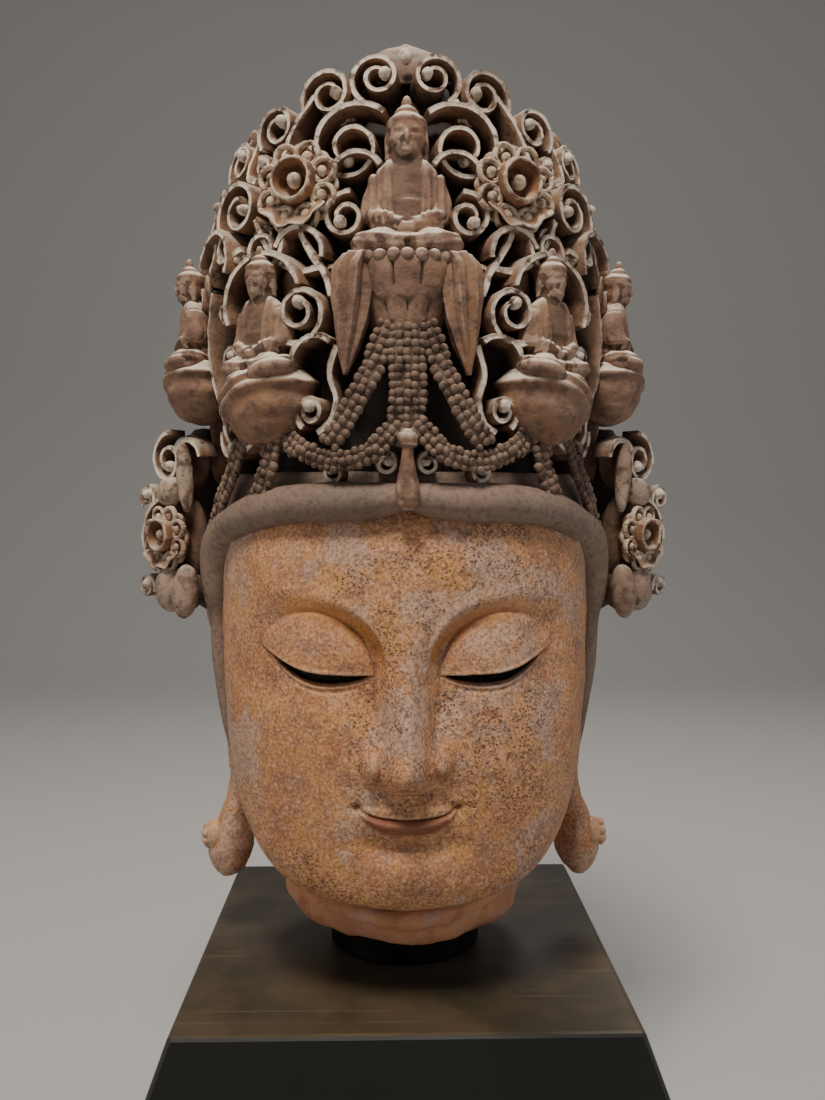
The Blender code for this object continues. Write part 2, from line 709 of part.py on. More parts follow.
def carve_jewels(stone):
    for points, wide, deep in STRANDS:
        both_sides(roll(points, [(wide, deep)] * len(points), 8), stone)
    carve([oval(0.0, -20.3, z, w, d, 12) for z, w, d in BEAD_COLUMN], stone)
    carve([oval(0.0, -21.2, z, r, r, 12) for z, r in PENDANT], stone)


# The ornament that stands out over each ear faces half sideways.
SIDE_TURN = 42.0
SIDE_ORIGIN = Vector((26.2, -3.6, 0.0))


def side_frame(out_by, z):
    across = Vector((cos(radians(SIDE_TURN)), sin(radians(SIDE_TURN)), 0.0))
    out = Vector((sin(radians(SIDE_TURN)), -cos(radians(SIDE_TURN)), 0.0))
    return SIDE_ORIGIN + across * out_by + Vector((0.0, 0.0, z)), across, Vector((0.0, 0.0, 1.0)), out


# Its scrolls: distance out, height, radius, way round, end, turns. Its arches: the same, from, to.
SIDE_SCROLLS = ((-0.2, 49.8, 3.0, 1, 97, 1.6), (3.9, 35.6, 1.5, 1, 200, 1.2), (3.9, 45.6, 1.6, 1, 200, 1.2))
SIDE_ARCHES = ((0.4, 41.4, 4.2, 75, -100), (-3.6, 49.6, 2.2, 170, 20))
SIDE_DEPTH = 2.1
# Long petals and, further back, the ground they stand on: distance out, height, how far back,
# half width, half depth, half height.
SIDE_LEAVES = (
    (-0.6, 46.3, 0.0, 1.9, 1.3, 1.5),
    (-3.2, 48.0, 0.0, 0.9, 0.9, 4.0),
    (-0.4, 35.6, 0.0, 2.0, 1.5, 2.6),
    (-3.0, 35.4, 0.0, 1.6, 1.4, 3.0),
    (-1.4, 49.6, 2.2, 3.4, 0.9, 3.0),
    (0.2, 41.0, 2.2, 4.4, 1.2, 5.4),
    (-0.4, 35.6, 2.2, 3.0, 1.0, 2.6),
)
SIDE_BACKING = (
    (32.6, 21.4, 1.0),
    (34.5, 22.6, 2.2),
    (38.0, 23.4, 2.8),
    (44.0, 23.8, 3.0),
    (50.0, 23.2, 2.8),
    (53.4, 22.4, 1.6),
)


def carve_side_ornament(stone):
    both_sides([oval(x, 0.2, z, r, r, 16) for z, x, r in SIDE_BACKING], stone)
    for out_by, z, radius, way, end, turns in SIDE_SCROLLS:
        centre, across, up, out = side_frame(out_by, z)
        path = []
        for i in range(SCROLL_STEPS + 1):
            left = turns * (1.0 - i / SCROLL_STEPS)
            turn = radians(end) - way * 2.0 * pi * left
            reach = radius * SCROLL_GROWTH**-left
            path.append((centre + (across * cos(turn) + up * sin(turn)) * reach, out))
        ribbon(path, SIDE_DEPTH, stone)
    for out_by, z, radius, start, end in SIDE_ARCHES:
        centre, across, up, out = side_frame(out_by, z)
        turns = [radians(start + (end - start) * i / 12) for i in range(13)]
        path = [(centre + (across * cos(turn) + up * sin(turn)) * radius, out) for turn in turns]
        ribbon(path, SIDE_DEPTH, stone)
    carve_flower(*side_frame(-0.2, 41.2), 0.82, stone)
    for out_by, z, back_by, wide, deep, tall in SIDE_LEAVES:
        leaf = lozenge(Vector((out_by, back_by, z)), wide, deep, tall)
        both_sides(place(leaf, SIDE_TURN, SIDE_ORIGIN, 1.0), stone)


def build_stone(finish):
    """All the carving in one mesh, then one skin over it, then fewer facets."""
    stone = bmesh.new()
    for carve_piece in (
        carve_head,
        carve_neck,
        carve_hair,
        carve_ears,
        carve_crown_core,
        carve_crest,
        carve_scrolls,
        carve_central_figure,
        carve_side_figures,
        carve_flowers,
        carve_jewels,
        carve_side_ornament,
    ):
        carve_piece(stone)
    shell = finished_object("carving", stone, finish)
    skin = shell.modifiers.new("one_skin", "REMESH")
    skin.mode = "VOXEL"
    skin.voxel_size = SKIN_STEP * PART
    return fewer_facets(shell, finish)


def fewer_facets(shell, finish):
    """The carving's skin with fewer facets, most of them spared on the face."""
    skin = bpy.data.meshes.new_from_object(shell.evaluated_get(bpy.context.evaluated_depsgraph_get()))
    bpy.data.objects.remove(shell)
    skin.name = "head"
    head = bpy.data.objects.new("head", skin)
    bpy.context.scene.collection.objects.link(head)
    face = head.vertex_groups.new(name="not_the_face")
    for vertex in skin.vertices:
        x, y, z = (vertex.co - Vector((0.0, 0.0, STONE_SEAT))) / PART
        on_face = y < -8.0 and abs(x) < 18.5 and 5.0 < z < 43.0
        face.add([vertex.index], 0.5 if on_face else 1.0, "REPLACE")
    facets = head.modifiers.new("facets", "DECIMATE")
    facets.ratio = FACETS_KEPT
    facets.vertex_group = face.name
    facets.vertex_group_factor = FACE_CARE
    return head


def build_plinth(finish):
    top = PLINTH_TOP / 2
    foot = top + PLINTH_BATTER * PLINTH_HEIGHT
    corners = ((-1, -1), (1, -1), (1, 1), (-1, 1))
    rings = [[Vector((x * foot, y * foot, 0.0)) for x, y in corners]]
    rings.append([Vector((x * top, y * top, PLINTH_HEIGHT)) for x, y in corners])
    bm = bmesh.new()
    add_loft(bm, rings)
    plinth = finished_object("plinth", bm, finish)
    edge = plinth.modifiers.new("edge", "BEVEL")
    edge.width = PLINTH_EDGE
    edge.segments = 2
    return plinth


def build_collar(finish):
    bm = bmesh.new()
    bmesh.ops.create_cone(
        bm, cap_ends=True, segments=48, radius1=COLLAR_RADIUS, radius2=COLLAR_RADIUS, depth=COLLAR_HEIGHT
    )
    collar = finished_object("mount_collar", bm, finish)
    collar.location.z = COLLAR_SEAT + COLLAR_HEIGHT / 2
    edge = collar.modifiers.new("edge", "BEVEL")
    edge.width = COLLAR_EDGE
    edge.segments = 2
    return collar


def main():
    for old in list(bpy.data.objects):
        bpy.data.objects.remove(old)
    build_plinth(material("dark_patinated_plinth", (0.05, 0.045, 0.032), 0.4))
    build_collar(material("blackened_steel", (0.012, 0.012, 0.012), 0.45))
    build_stone(material("painted_sandstone", (0.42, 0.23, 0.11), 0.85))


main()
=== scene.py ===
"""Looks of a carved sandstone bodhisattva head with its tall openwork crown, on a black collar
and a dark tapered plinth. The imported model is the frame, in metres, with the face looking
along -Y. The carving is set out in parts of the stone's own height.
"""

import bmesh
import bpy
import numpy as np
from mathutils import Matrix, Vector, noise


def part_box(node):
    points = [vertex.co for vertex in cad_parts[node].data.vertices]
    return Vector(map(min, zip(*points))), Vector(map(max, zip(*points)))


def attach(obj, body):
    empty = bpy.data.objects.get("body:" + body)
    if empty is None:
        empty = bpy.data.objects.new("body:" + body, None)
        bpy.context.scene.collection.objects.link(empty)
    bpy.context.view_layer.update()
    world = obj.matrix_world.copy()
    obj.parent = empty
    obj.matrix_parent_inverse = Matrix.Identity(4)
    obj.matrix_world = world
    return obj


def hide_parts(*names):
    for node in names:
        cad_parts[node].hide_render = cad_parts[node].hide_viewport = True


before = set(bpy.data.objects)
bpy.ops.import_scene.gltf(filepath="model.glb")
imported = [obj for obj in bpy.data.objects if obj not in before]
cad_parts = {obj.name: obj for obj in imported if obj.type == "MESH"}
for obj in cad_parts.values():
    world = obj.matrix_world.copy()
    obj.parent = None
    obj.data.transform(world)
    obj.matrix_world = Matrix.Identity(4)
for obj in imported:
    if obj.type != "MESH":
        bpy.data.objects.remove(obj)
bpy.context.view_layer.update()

# The camera, as the photographer stood: a little over the plinth's top, looking slightly down
# and to the right. The focal length is the one that fits the plinth's four corners.
PHOTO_HEIGHT = 1100
PHOTO_FOCAL = 990.4
FILM = 36.0  # in mm, along the photo's height
EYE_OVER_PLINTH = 0.4925
EYE_BACK = 1.136
EYE_ASIDE = -0.0152
LOOKING_DOWN = 2.29
LOOKING_RIGHT = 1.23

plinth_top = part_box("plinth")[1][2]
camera_data = bpy.data.cameras.new("camera")
camera_data.lens = FILM * PHOTO_FOCAL / PHOTO_HEIGHT
camera_data.clip_end = 60.0
camera = bpy.data.objects.new("camera", camera_data)
camera.location = (EYE_ASIDE, -EYE_BACK, plinth_top + EYE_OVER_PLINTH)
camera.rotation_euler = (np.radians(90.0 - LOOKING_DOWN), 0.0, -np.radians(LOOKING_RIGHT))
bpy.context.scene.collection.objects.link(camera)
bpy.context.scene.camera = camera


def linear(code):
    """A colour from its sRGB hex code, as the shader wants it."""
    levels = [int(code[i : i + 2], 16) / 255.0 for i in (1, 3, 5)]
    return (*[c / 12.92 if c < 0.04045 else ((c + 0.055) / 1.055) ** 2.4 for c in levels], 1.0)


def add_node(material, kind, settings=None, inputs=None):
    """A node with its settings. Each input is fed by a socket or set to a value."""
    node = material.node_tree.nodes.new(kind)
    for key, value in (settings or {}).items():
        setattr(node, key, value)
    for key, value in (inputs or {}).items():
        if isinstance(value, bpy.types.NodeSocket):
            material.node_tree.links.new(value, node.inputs[key])
        else:
            node.inputs[key].default_value = value
    return node


def new_material(name, roughness, metallic=0.0):
    """A material with its own shader, returned as both."""
    material = bpy.data.materials.new(name)
    material.use_nodes = True
    shader = material.node_tree.nodes["Principled BSDF"]
    shader.inputs["Roughness"].default_value = roughness
    shader.inputs["Metallic"].default_value = metallic
    return material, shader


# The studio: a pale matt floor that curves up into a pale backdrop, a large soft light high in
# front, a weaker one at each side and one behind that draws the crown's edge.
FLOOR_COLOUR = "#B9B8B6"
FLOOR_REACH = 5.0
BACKDROP_AT = 3.0
BACKDROP_BEND = 1.4
BACKDROP_TOP = 4.5
FLOOR_WIDTH = 14.0


def as_mesh(form, name):
    """A form kept as a mesh of that name, then freed."""
    mesh = bpy.data.meshes.new(name)
    form.to_mesh(mesh)
    form.free()
    return mesh


floor_form = bmesh.new()
bmesh.ops.create_grid(floor_form, x_segments=2, y_segments=60, size=0.5)
for vert in floor_form.verts:
    run = (vert.co.y + 0.5) * (FLOOR_REACH + BACKDROP_AT + BACKDROP_BEND * np.pi / 2 + BACKDROP_TOP)
    run -= FLOOR_REACH
    turn = min(max((run - BACKDROP_AT) / BACKDROP_BEND, 0.0), np.pi / 2)
    rest = max(run - BACKDROP_AT - BACKDROP_BEND * np.pi / 2, 0.0)
    vert.co.y = min(run, BACKDROP_AT) + BACKDROP_BEND * np.sin(turn)
    vert.co.z = BACKDROP_BEND * (1.0 - np.cos(turn)) + rest
    vert.co.x *= FLOOR_WIDTH
bmesh.ops.recalc_face_normals(floor_form, faces=floor_form.faces)
floor_mesh = as_mesh(floor_form, "studio_floor")
floor_mesh.shade_smooth()
floor = bpy.data.objects.new("studio_floor", floor_mesh)
bpy.context.scene.collection.objects.link(floor)
# Seamless backdrop paper: pale, matt and even.
floor_paint, floor_shader = new_material("matt_studio_paper", 0.9)
floor_shader.inputs["Base Color"].default_value = linear(FLOOR_COLOUR)
floor_mesh.materials.append(floor_paint)


def add_light(name, place, aim, size, watts, colour):
    """A square soft light at a place, turned to its aim."""
    data = bpy.data.lights.new(name, "AREA")
    data.energy = watts
    data.size = size
    data.color = linear(colour)[:3]
    light = bpy.data.objects.new(name, data)
    light.location = place
    light.rotation_euler = (Vector(aim) - Vector(place)).to_track_quat("-Z", "Y").to_euler()
    bpy.context.scene.collection.objects.link(light)


STONE_MIDDLE = (0.0, 0.0, 0.80)
AIR_COLOUR = "#C8CAD0"
AIR_STRENGTH = 0.28
add_light("high_front_light", (-0.35, -1.5, 3.3), STONE_MIDDLE, 0.8, 88.0, "#FFF4E6")
add_light("left_fill_light", (-2.4, -1.2, 1.3), STONE_MIDDLE, 1.6, 11.0, "#FFF6EC")
add_light("right_fill_light", (2.4, -1.0, 1.2), STONE_MIDDLE, 1.6, 9.0, "#F4F6FF")
add_light("behind_light", (0.5, 1.6, 3.0), STONE_MIDDLE, 1.0, 34.0, "#FFF8F0")
studio_air = bpy.data.worlds.new("studio_air")
studio_air.use_nodes = True
studio_air.node_tree.nodes["Background"].inputs["Color"].default_value = linear(AIR_COLOUR)
studio_air.node_tree.nodes["Background"].inputs["Strength"].default_value = AIR_STRENGTH
bpy.context.scene.world = studio_air

# The face: one smooth mask of fine sandstone, cut by chisel to the canon of thirds, with downcast
# lids, then primed, painted and gilded. It is set out in parts of the stone's height, from the
# middle of the broken neck's underside.
PARTS_HIGH = 95.0
stone_low, stone_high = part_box("head")
PART = (stone_high[2] - stone_low[2]) / PARTS_HIGH
SEAT = Vector((0.0, 0.0, stone_low[2]))
FACE_COLUMNS = 330
FACE_ROWS = 290

# Height, half width, front, back, squareness.
HEAD_FORM = (
    (5.0, 2.8, -17.0, -12.5, 2.0),
    (5.3, 6.4, -18.4, -9.5, 2.2),
    (6.2, 10.6, -19.4, -6.0, 2.4),
    (8.4, 14.2, -19.9, -1.0, 2.5),
    (12.8, 17.2, -20.1, 5.5, 2.5),
    (17.8, 18.8, -20.1, 11.0, 2.5),
    (23.2, 19.5, -20.0, 14.5, 2.5),
    (28.2, 19.9, -19.8, 16.0, 2.5),
    (34.3, 20.0, -19.7, 16.6, 2.5),
    (40.0, 19.8, -19.2, 16.6, 2.5),
    (44.0, 19.2, -18.2, 16.0, 2.4),
    (48.0, 18.0, -16.6, 15.4, 2.3),
)
# The lines of the face, by distance from its middle, and the nose by height.
EYE_SLIT = (
    (3.2, 28.35),
    (6.0, 28.45),
    (8.8, 28.65),
    (10.3, 28.95),
    (11.8, 29.5),
    (13.5, 30.4),
    (14.6, 31.1),
)
EYE_OPEN = (3.6, 13.0, 1.1)  # where the opening, painted near black as shade, starts and ends, and its height
LID_FOLD = ((3.0, 28.8), (4.5, 32.0), (7.9, 34.2), (11.4, 34.1), (13.6, 32.7), (14.8, 31.4))
BROW = ((1.6, 28.0), (2.4, 31.4), (4.9, 34.3), (9.2, 35.9), (13.3, 35.9), (17.0, 34.8))
MOUTH_LINE = ((0.0, 14.8), (1.6, 14.9), (3.4, 15.2), (4.8, 15.9))
MOUTH_HALF = 4.8
LIP_TOP = ((0.0, 16.2), (1.3, 16.5), (3.2, 16.3), (5.0, 16.1))
LIP_FOOT = ((0.0, 13.3), (1.8, 13.4), (3.2, 14.0), (4.6, 15.3))
NOSE = (
    (17.3, 0.0, 1.2),
    (17.7, 1.2, 1.4),
    (18.5, 3.4, 1.9),
    (19.7, 4.6, 2.2),
    (21.0, 4.6, 2.1),
    (23.2, 3.6, 1.8),
    (26.2, 2.6, 1.6),
    (30.0, 1.6, 1.7),
    (33.0, 0.9, 2.4),
    (36.5, 0.2, 4.5),
    (39.0, 0.0, 6.0),
)
EYE_INNER, EYE_OUTER = 3.2, 14.4


def between(table, keys, column=1):
    """Values of a column at keys, on a smooth line through rows whose first entry rises."""
    rows = np.array(table, dtype=float)
    places, values = rows[:, 0], rows[:, column]
    slopes = np.gradient(values, places) if len(rows) < 3 else np.empty(len(rows))
    slopes[1:-1] = (values[2:] - values[:-2]) / (places[2:] - places[:-2])
    slopes[0] = (values[1] - values[0]) / (places[1] - places[0])
    slopes[-1] = (values[-1] - values[-2]) / (places[-1] - places[-2])
    i = np.clip(np.searchsorted(places, keys, side="right") - 1, 0, len(rows) - 2)
    span = places[i + 1] - places[i]
    t = np.clip((keys - places[i]) / span, 0.0, 1.0)
    bend = (t - 1.0) * (slopes[i] * (t - 1.0) + slopes[i + 1] * t) * t * span
    return values[i] + (values[i + 1] - values[i]) * t * t * (3.0 - 2.0 * t) + bend


def rise(low, high, value):
    """Goes smoothly from 0 at the low value to 1 at the high one."""
    t = np.clip((value - low) / (high - low), 0.0, 1.0)
    return t * t * (3.0 - 2.0 * t)


def hill(x, z, x0, z0, wide, tall):
    return np.exp(-(((x - x0) / wide) ** 2) - ((z - z0) / tall) ** 2)


def signed_power(value, power):
    return np.sign(value) * np.abs(value) ** power


def eye_relief(x, z):
    """Socket, upper lid, slit and lower lid, with the slit's opening as a second value, where it is cut in
    and painted near black as shade.
    """
    along = np.clip((x - EYE_INNER) / (EYE_OUTER - EYE_INNER), 0.0, 1.0)
    swell = np.sin(np.pi * along) ** 0.6
    below_brow = between(BROW, x) - z
    # The socket's edge is crisp beside the nose and soft further out.
    soft = rise(4.0, 12.0, x)
    socket = rise(1.6, 3.2, x) * (1.0 - rise(13.0, 18.0, x))
    relief = 0.25 * socket * (1.0 - 0.7 * soft) * np.exp(-((below_brow + 0.3) ** 2) / 0.6)
    edge = rise(-0.3, 1.7 + 2.6 * soft, below_brow)
    relief -= (1.25 - 0.35 * soft) * socket * edge * (1.0 - rise(7.0, 12.0, below_brow))
    slit, fold = between(EYE_SLIT, x), between(LID_FOLD, x)
    t = np.clip((z - slit) / np.maximum(fold - slit, 0.4), 0.0, 1.0)
    lid = 1.7 * swell * np.maximum(np.cos(np.pi / 2 * t), 0.0) ** 0.9 * (0.9 + 0.35 * t)
    crease = -0.14 * rise(3.0, 4.5, x) * rise(13.5, 9.5, x)
    crease = crease * np.exp(-(((z - fold - 0.1) / 0.22) ** 2))
    inner, outer, high = EYE_OPEN
    open_here = high * np.sin(np.pi * np.clip((x - inner) / (outer - inner), 0.0, 1.0)) ** 0.7
    drop = np.maximum(slit - z, 0.0)
    lower = 0.9 * swell * rise(open_here - 0.05, open_here + 0.3, drop)
    lower = lower * np.exp(-((drop / 3.0) ** 2))
    opening = (1.0 - rise(open_here - 0.12, open_here + 0.1, drop)) * rise(0.05, 0.3, open_here)
    groove = 0.2 * swell * np.exp(-(((drop - open_here - 0.65) / 0.2) ** 2))
    rim = 0.15 * swell * np.exp(-(((z - slit - 0.15) / 0.16) ** 2))
    below = z < slit
    relief += np.where(below, lower - opening - groove, lid + rim + crease)
    return relief, np.where(below, opening, 0.0)


def nose_relief(x, z):
    height, wide = between(NOSE, z, 1), between(NOSE, z, 2)
    ridge = height * (0.72 * np.exp(-((x / wide) ** 2.4)) + 0.28 * np.exp(-((x / (2.1 * wide)) ** 2)))
    wing = 2.2 * np.exp(-((((x - 3.15) / 1.2) ** 2 + ((z - 20.3) / 1.7) ** 2) ** 1.1))
    return np.maximum(ridge, wing)


def mouth_relief(x, z):
    """Both lips and the line between them, with how red each place is as a second value."""
    line, top, foot = between(MOUTH_LINE, x), between(LIP_TOP, x), between(LIP_FOOT, x)
    relief = 0.9 * hill(x, z, 0.0, 15.8, 6.5, 4.2) - 0.2 * hill(x, z, 0.0, 16.8, 0.6, 0.5)
    ends = np.sqrt(np.clip(1.0 - (x / MOUTH_HALF) ** 2, 0.0, 1.0))
    over = np.clip((z - line) / np.maximum(top - line, 0.1), 0.0, 1.0)
    under = np.clip((line - z) / np.maximum(line - foot, 0.1), 0.0, 1.0)
    lips = np.where(z > line, 0.45 * (1.0 - over**2), 0.85 * (1.0 - under**3))
    red = rise(4.2, 3.7, x) * rise(1.0, 0.85, under) * rise(0.25, 0.05, over)
    red = np.maximum(red, hill(x, z, MOUTH_HALF, 15.9, 0.4, 0.22))
    relief += ends * (lips - 0.6 * np.exp(-(((z - line) / 0.22) ** 2)))
    return relief - 0.6 * hill(x, z, MOUTH_HALF, 15.9, 0.6, 0.5), red


def face_relief(x, z):
    """How far the face stands forward of the plain form, then where its eye slits are painted near black as
    shade, and its lip colour.
    """
    eyes, slit_shade = eye_relief(x, z)
    mouth, red = mouth_relief(x, z)
    relief = 0.5 * hill(x, z, 0.0, 39.5, 9.0, 5.0) + eyes + nose_relief(x, z)
    relief += mouth - 0.8 * hill(x, z, 0.0, 12.2, 4.5, 1.1)
    relief += 1.0 * hill(x, z, 0.0, 9.2, 4.4, 2.8) + 0.6 * hill(x, z, 10.5, 20.5, 5.5, 5.5)
    return relief, slit_shade, red


def face_shape(u, v):
    """The head at a share of the way round and of the way up, its rows bent along the lids."""
    steps = np.linspace(5.0, 45.0, 600)
    # More rows of facets where the eyes are, and the mouth.
    care = 1.0 + 1.3 * np.exp(-(((steps - 28.6) / 2.4) ** 2))
    care += 0.9 * np.exp(-(((steps - 16.0) / 2.4) ** 2))
    filled = np.cumsum(care)
    z = np.interp(v, (filled - filled[0]) / (filled[-1] - filled[0]), steps)
    turn = 2.0 * np.pi * u - 0.78 * np.sin(2.0 * np.pi * u) - 0.05 * np.sin(4.0 * np.pi * u)
    wide, front, back, power = (between(HEAD_FORM, z, column) for column in (1, 2, 3, 4))
    x = wide * signed_power(np.sin(turn), 2.0 / power)
    on_eye = rise(2.0, 4.0, np.abs(x)) * rise(18.0, 14.0, np.abs(x)) * (np.cos(turn) > 0)
    z = z + (between(EYE_SLIT, np.abs(x)) - 28.3) * on_eye * np.exp(-(((z - 28.3) / 3.2) ** 2))
    y = (front + back) / 2 - (back - front) / 2 * signed_power(np.cos(turn), 2.0 / power)
    relief, _, _ = face_relief(np.abs(x), z)
    y = y - relief * rise(0.0, 0.45, np.cos(turn))
    return np.stack([x, y, z], axis=1)


def grid_form(columns, rows, shape):
    """A grid whose corners are moved to shape(u, v), closed round its seam and at its ends."""
    form = bmesh.new()
    bmesh.ops.create_grid(form, x_segments=columns, y_segments=rows, size=0.5)
    corners = np.array([vert.co[:2] for vert in form.verts]) + 0.5
    for vert, point in zip(form.verts, shape(corners[:, 0], corners[:, 1])):
        vert.co = point
    bmesh.ops.remove_doubles(form, verts=form.verts, dist=0.0004)
    open_edges = [edge for edge in form.edges if edge.is_boundary]
    bmesh.ops.holes_fill(form, edges=open_edges, sides=0)
    bmesh.ops.recalc_face_normals(form, faces=form.faces)
    return form


def set_in(piece, mesh, setting, mirrored):
    """Adds a mesh to a piece at its setting, and its mirror image on the other side if asked."""
    copy = mesh.copy()
    copy.transform(setting)
    piece.from_mesh(copy)
    if mirrored:
        copy.transform(Matrix.Scale(-1.0, 4, (1.0, 0.0, 0.0)))
        copy.flip_normals()
        piece.from_mesh(copy)
    bpy.data.meshes.remove(copy)


def take_in(piece, form, mirrored=False):
    """Adds a form to a piece where it is, and its mirror image if asked, then frees it."""
    mesh = as_mesh(form, "form")
    set_in(piece, mesh, Matrix(), mirrored)
    bpy.data.meshes.remove(mesh)


def weather(form, wave, depth, seed=0.0):
    """Moves each point along its normal by smooth noise, wave long and depth deep, in parts."""
    form.normal_update()
    for vert in form.verts:
        shift = noise.noise(vert.co / wave + Vector((seed, seed, seed)))
        vert.co += vert.normal * (shift * depth)


def mark(mesh, name, values):
    """Keeps one number for each point of a mesh, for its material to read."""
    layer = mesh.attributes.new(name, "FLOAT", "POINT")
    layer.data.foreach_set("value", np.asarray(values, dtype=np.float32))


def read_points(mesh, what="co"):
    """Where the points of a mesh lie, one row each, or their normals if asked."""
    values = np.empty(len(mesh.vertices) * 3)
    mesh.vertices.foreach_get(what, values)
    return values.reshape(-1, 3)


def mark_wear_and_shade(mesh, rounds):
    """Marks where a surface is an edge, above 0, or a hollow, below 0, from its neighbours. Most materials
    pale the edges for wear, the carving and the face also as a painted highlight, and darken the hollows with
    painted shade.
    """
    count = len(mesh.vertices)
    points, normals = read_points(mesh), read_points(mesh, "normal")
    edges = np.empty(len(mesh.edges) * 2, dtype=int)
    mesh.edges.foreach_get("vertices", edges)
    a, b = edges.reshape(-1, 2).T
    ties = np.maximum(np.bincount(a, minlength=count) + np.bincount(b, minlength=count), 1)

    def mean_round(values):
        total = np.bincount(a, weights=values[b], minlength=count)
        return (total + np.bincount(b, weights=values[a], minlength=count)) / ties

    mean = np.stack([mean_round(points[:, i]) for i in range(3)], axis=1)
    lengths = np.linalg.norm(points[a] - points[b], axis=1)
    reach = np.maximum(np.bincount(a, weights=lengths, minlength=count) / ties * 2.0, 1e-9)
    wear_and_shade = ((points - mean) * normals).sum(axis=1) / reach
    for _ in range(rounds):
        wear_and_shade = 0.5 * wear_and_shade + 0.5 * mean_round(wear_and_shade)
    mark(mesh, "wear_and_shade", np.clip(wear_and_shade * 4.0, -1.0, 1.0))


def finish_piece(name, form, material, depth=None, smooth_below=180.0, wear_and_shade_rounds=2):
    """Makes a form, set out in parts, a finished piece in its place on the stone."""
    bmesh.ops.recalc_face_normals(form, faces=form.faces)
    mesh = as_mesh(form, name)
    if "wear_and_shade" not in mesh.attributes:
        mark_wear_and_shade(mesh, wear_and_shade_rounds)
    if depth:
        mark(mesh, "deep", depth(*read_points(mesh).T))
    mesh.transform(Matrix.Translation(SEAT) @ Matrix.Scale(PART, 4))
    mesh.shade_smooth()
    if smooth_below < 180.0:
        mesh.set_sharp_from_angle(angle=np.radians(smooth_below))
    mesh.materials.append(material)
    piece = bpy.data.objects.new(name, mesh)
    bpy.context.scene.collection.objects.link(piece)
    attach(piece, "root")
    return piece


GRAIN = 0.0009  # sandstone grit, drawn about twice its real size so that it shows
# The noise that every finish of the stone reads: grit, stains and clouds, each by its scale,
# detail and roughness.
STONE_NOISES = ((1.0 / GRAIN / 6, 3.0, 0.65), (9.0, 6.0, 0.62), (28.0, 5.0, 0.6))


def stone_patterns(material, *more):
    """Where a point is, its mark of wear and painted shade, its grit, stain and cloud, then any more noise.
    """
    place = add_node(material, "ShaderNodeTexCoord").outputs["Object"]
    wear_and_shade = add_node(material, "ShaderNodeAttribute", {"attribute_name": "wear_and_shade"}).outputs["Fac"]
    patterns = [place, wear_and_shade]
    for row in (*STONE_NOISES, *more):
        inputs = dict(zip(("Scale", "Detail", "Roughness", "Distortion"), row))
        pattern = add_node(material, "ShaderNodeTexNoise", {}, {"Vector": place, **inputs})
        patterns.append(pattern.outputs["Fac"])
    return patterns


def share_of(material, strength, *sources):
    """A strength times each source, which is taken as it is or as it rises between two limits."""
    share = strength
    for source, *limits in sources:
        if limits:
            inputs = {"Value": source, "From Min": limits[0], "From Max": limits[1]}
            settings = {"interpolation_type": "SMOOTHSTEP"}
            source = add_node(material, "ShaderNodeMapRange", settings, inputs).outputs["Result"]
        inputs = {0: source, 1: share}
        share = add_node(material, "ShaderNodeMath", {"operation": "MULTIPLY"}, inputs).outputs["Value"]
    return share


def lay_coats(material, shader, under, coats, heights, deep):
    """Lays coats over a colour, each a colour, its strength and its sources, and pits the surface
    by its heights, each a source and how much it counts.
    """
    colour = linear(under)
    for over, strength, *sources in coats:
        inputs = {0: share_of(material, strength, *sources), 6: colour, 7: linear(over)}
        colour = add_node(material, "ShaderNodeMix", {"data_type": "RGBA"}, inputs).outputs[2]
    height = 0.0
    for source, count in heights:
        inputs = {0: source, 1: count, 2: height}
        height = add_node(material, "ShaderNodeMath", {"operation": "MULTIPLY_ADD"}, inputs).outputs["Value"]
    inputs = {"Height": height, "Strength": 1.0, "Distance": deep}
    bump = add_node(material, "ShaderNodeBump", {}, inputs).outputs["Normal"]
    material.node_tree.links.new(colour, shader.inputs["Base Color"])
    material.node_tree.links.new(bump, shader.inputs["Normal"])


# Gilded and painted ground on fine sandstone: an ochre size coat with rubbed gold, worn through
# to pink-grey stone, and peppered with dark specks where the skin has flaked.
face_paint, face_shader = new_material("worn_gilding_on_sandstone", 0.62)
place, wear_and_shade, grit, stain, cloud, sand, blots, patches, bald, fleck, crowd = stone_patterns(
    face_paint,
    (330.0, 2.0, 0.6),
    (120.0, 5.0, 0.75),
    (6.5, 5.0, 0.6),
    (8.0, 9.0, 0.7, 0.4),
    (45.0, 6.0, 0.72),
    (30.0, 4.0, 0.65),
)
pits = add_node(face_paint, "ShaderNodeTexVoronoi", {}, {"Vector": place, "Scale": 300.0}).outputs["Distance"]
across = add_node(face_paint, "ShaderNodeSeparateXYZ", {}, {"Vector": place}).outputs["X"]
sideways = add_node(face_paint, "ShaderNodeMath", {"operation": "ABSOLUTE"}, {0: across}).outputs["Value"]
ochre, red, slit_shade = [
    add_node(face_paint, "ShaderNodeAttribute", {"attribute_name": kept}).outputs["Fac"]
    for kept in ("ochre", "lip", "slit_shade")
]
bare = share_of(face_paint, 1.0, (bald, 0.50, 0.55))
peppered = share_of(face_paint, 1.0, (patches, 0.38, 0.56), (sideways, 0.18, 0.12))
pitted = share_of(face_paint, 1.0, (pits, 0.44, 0.20), (peppered,), (crowd, 0.40, 0.58))
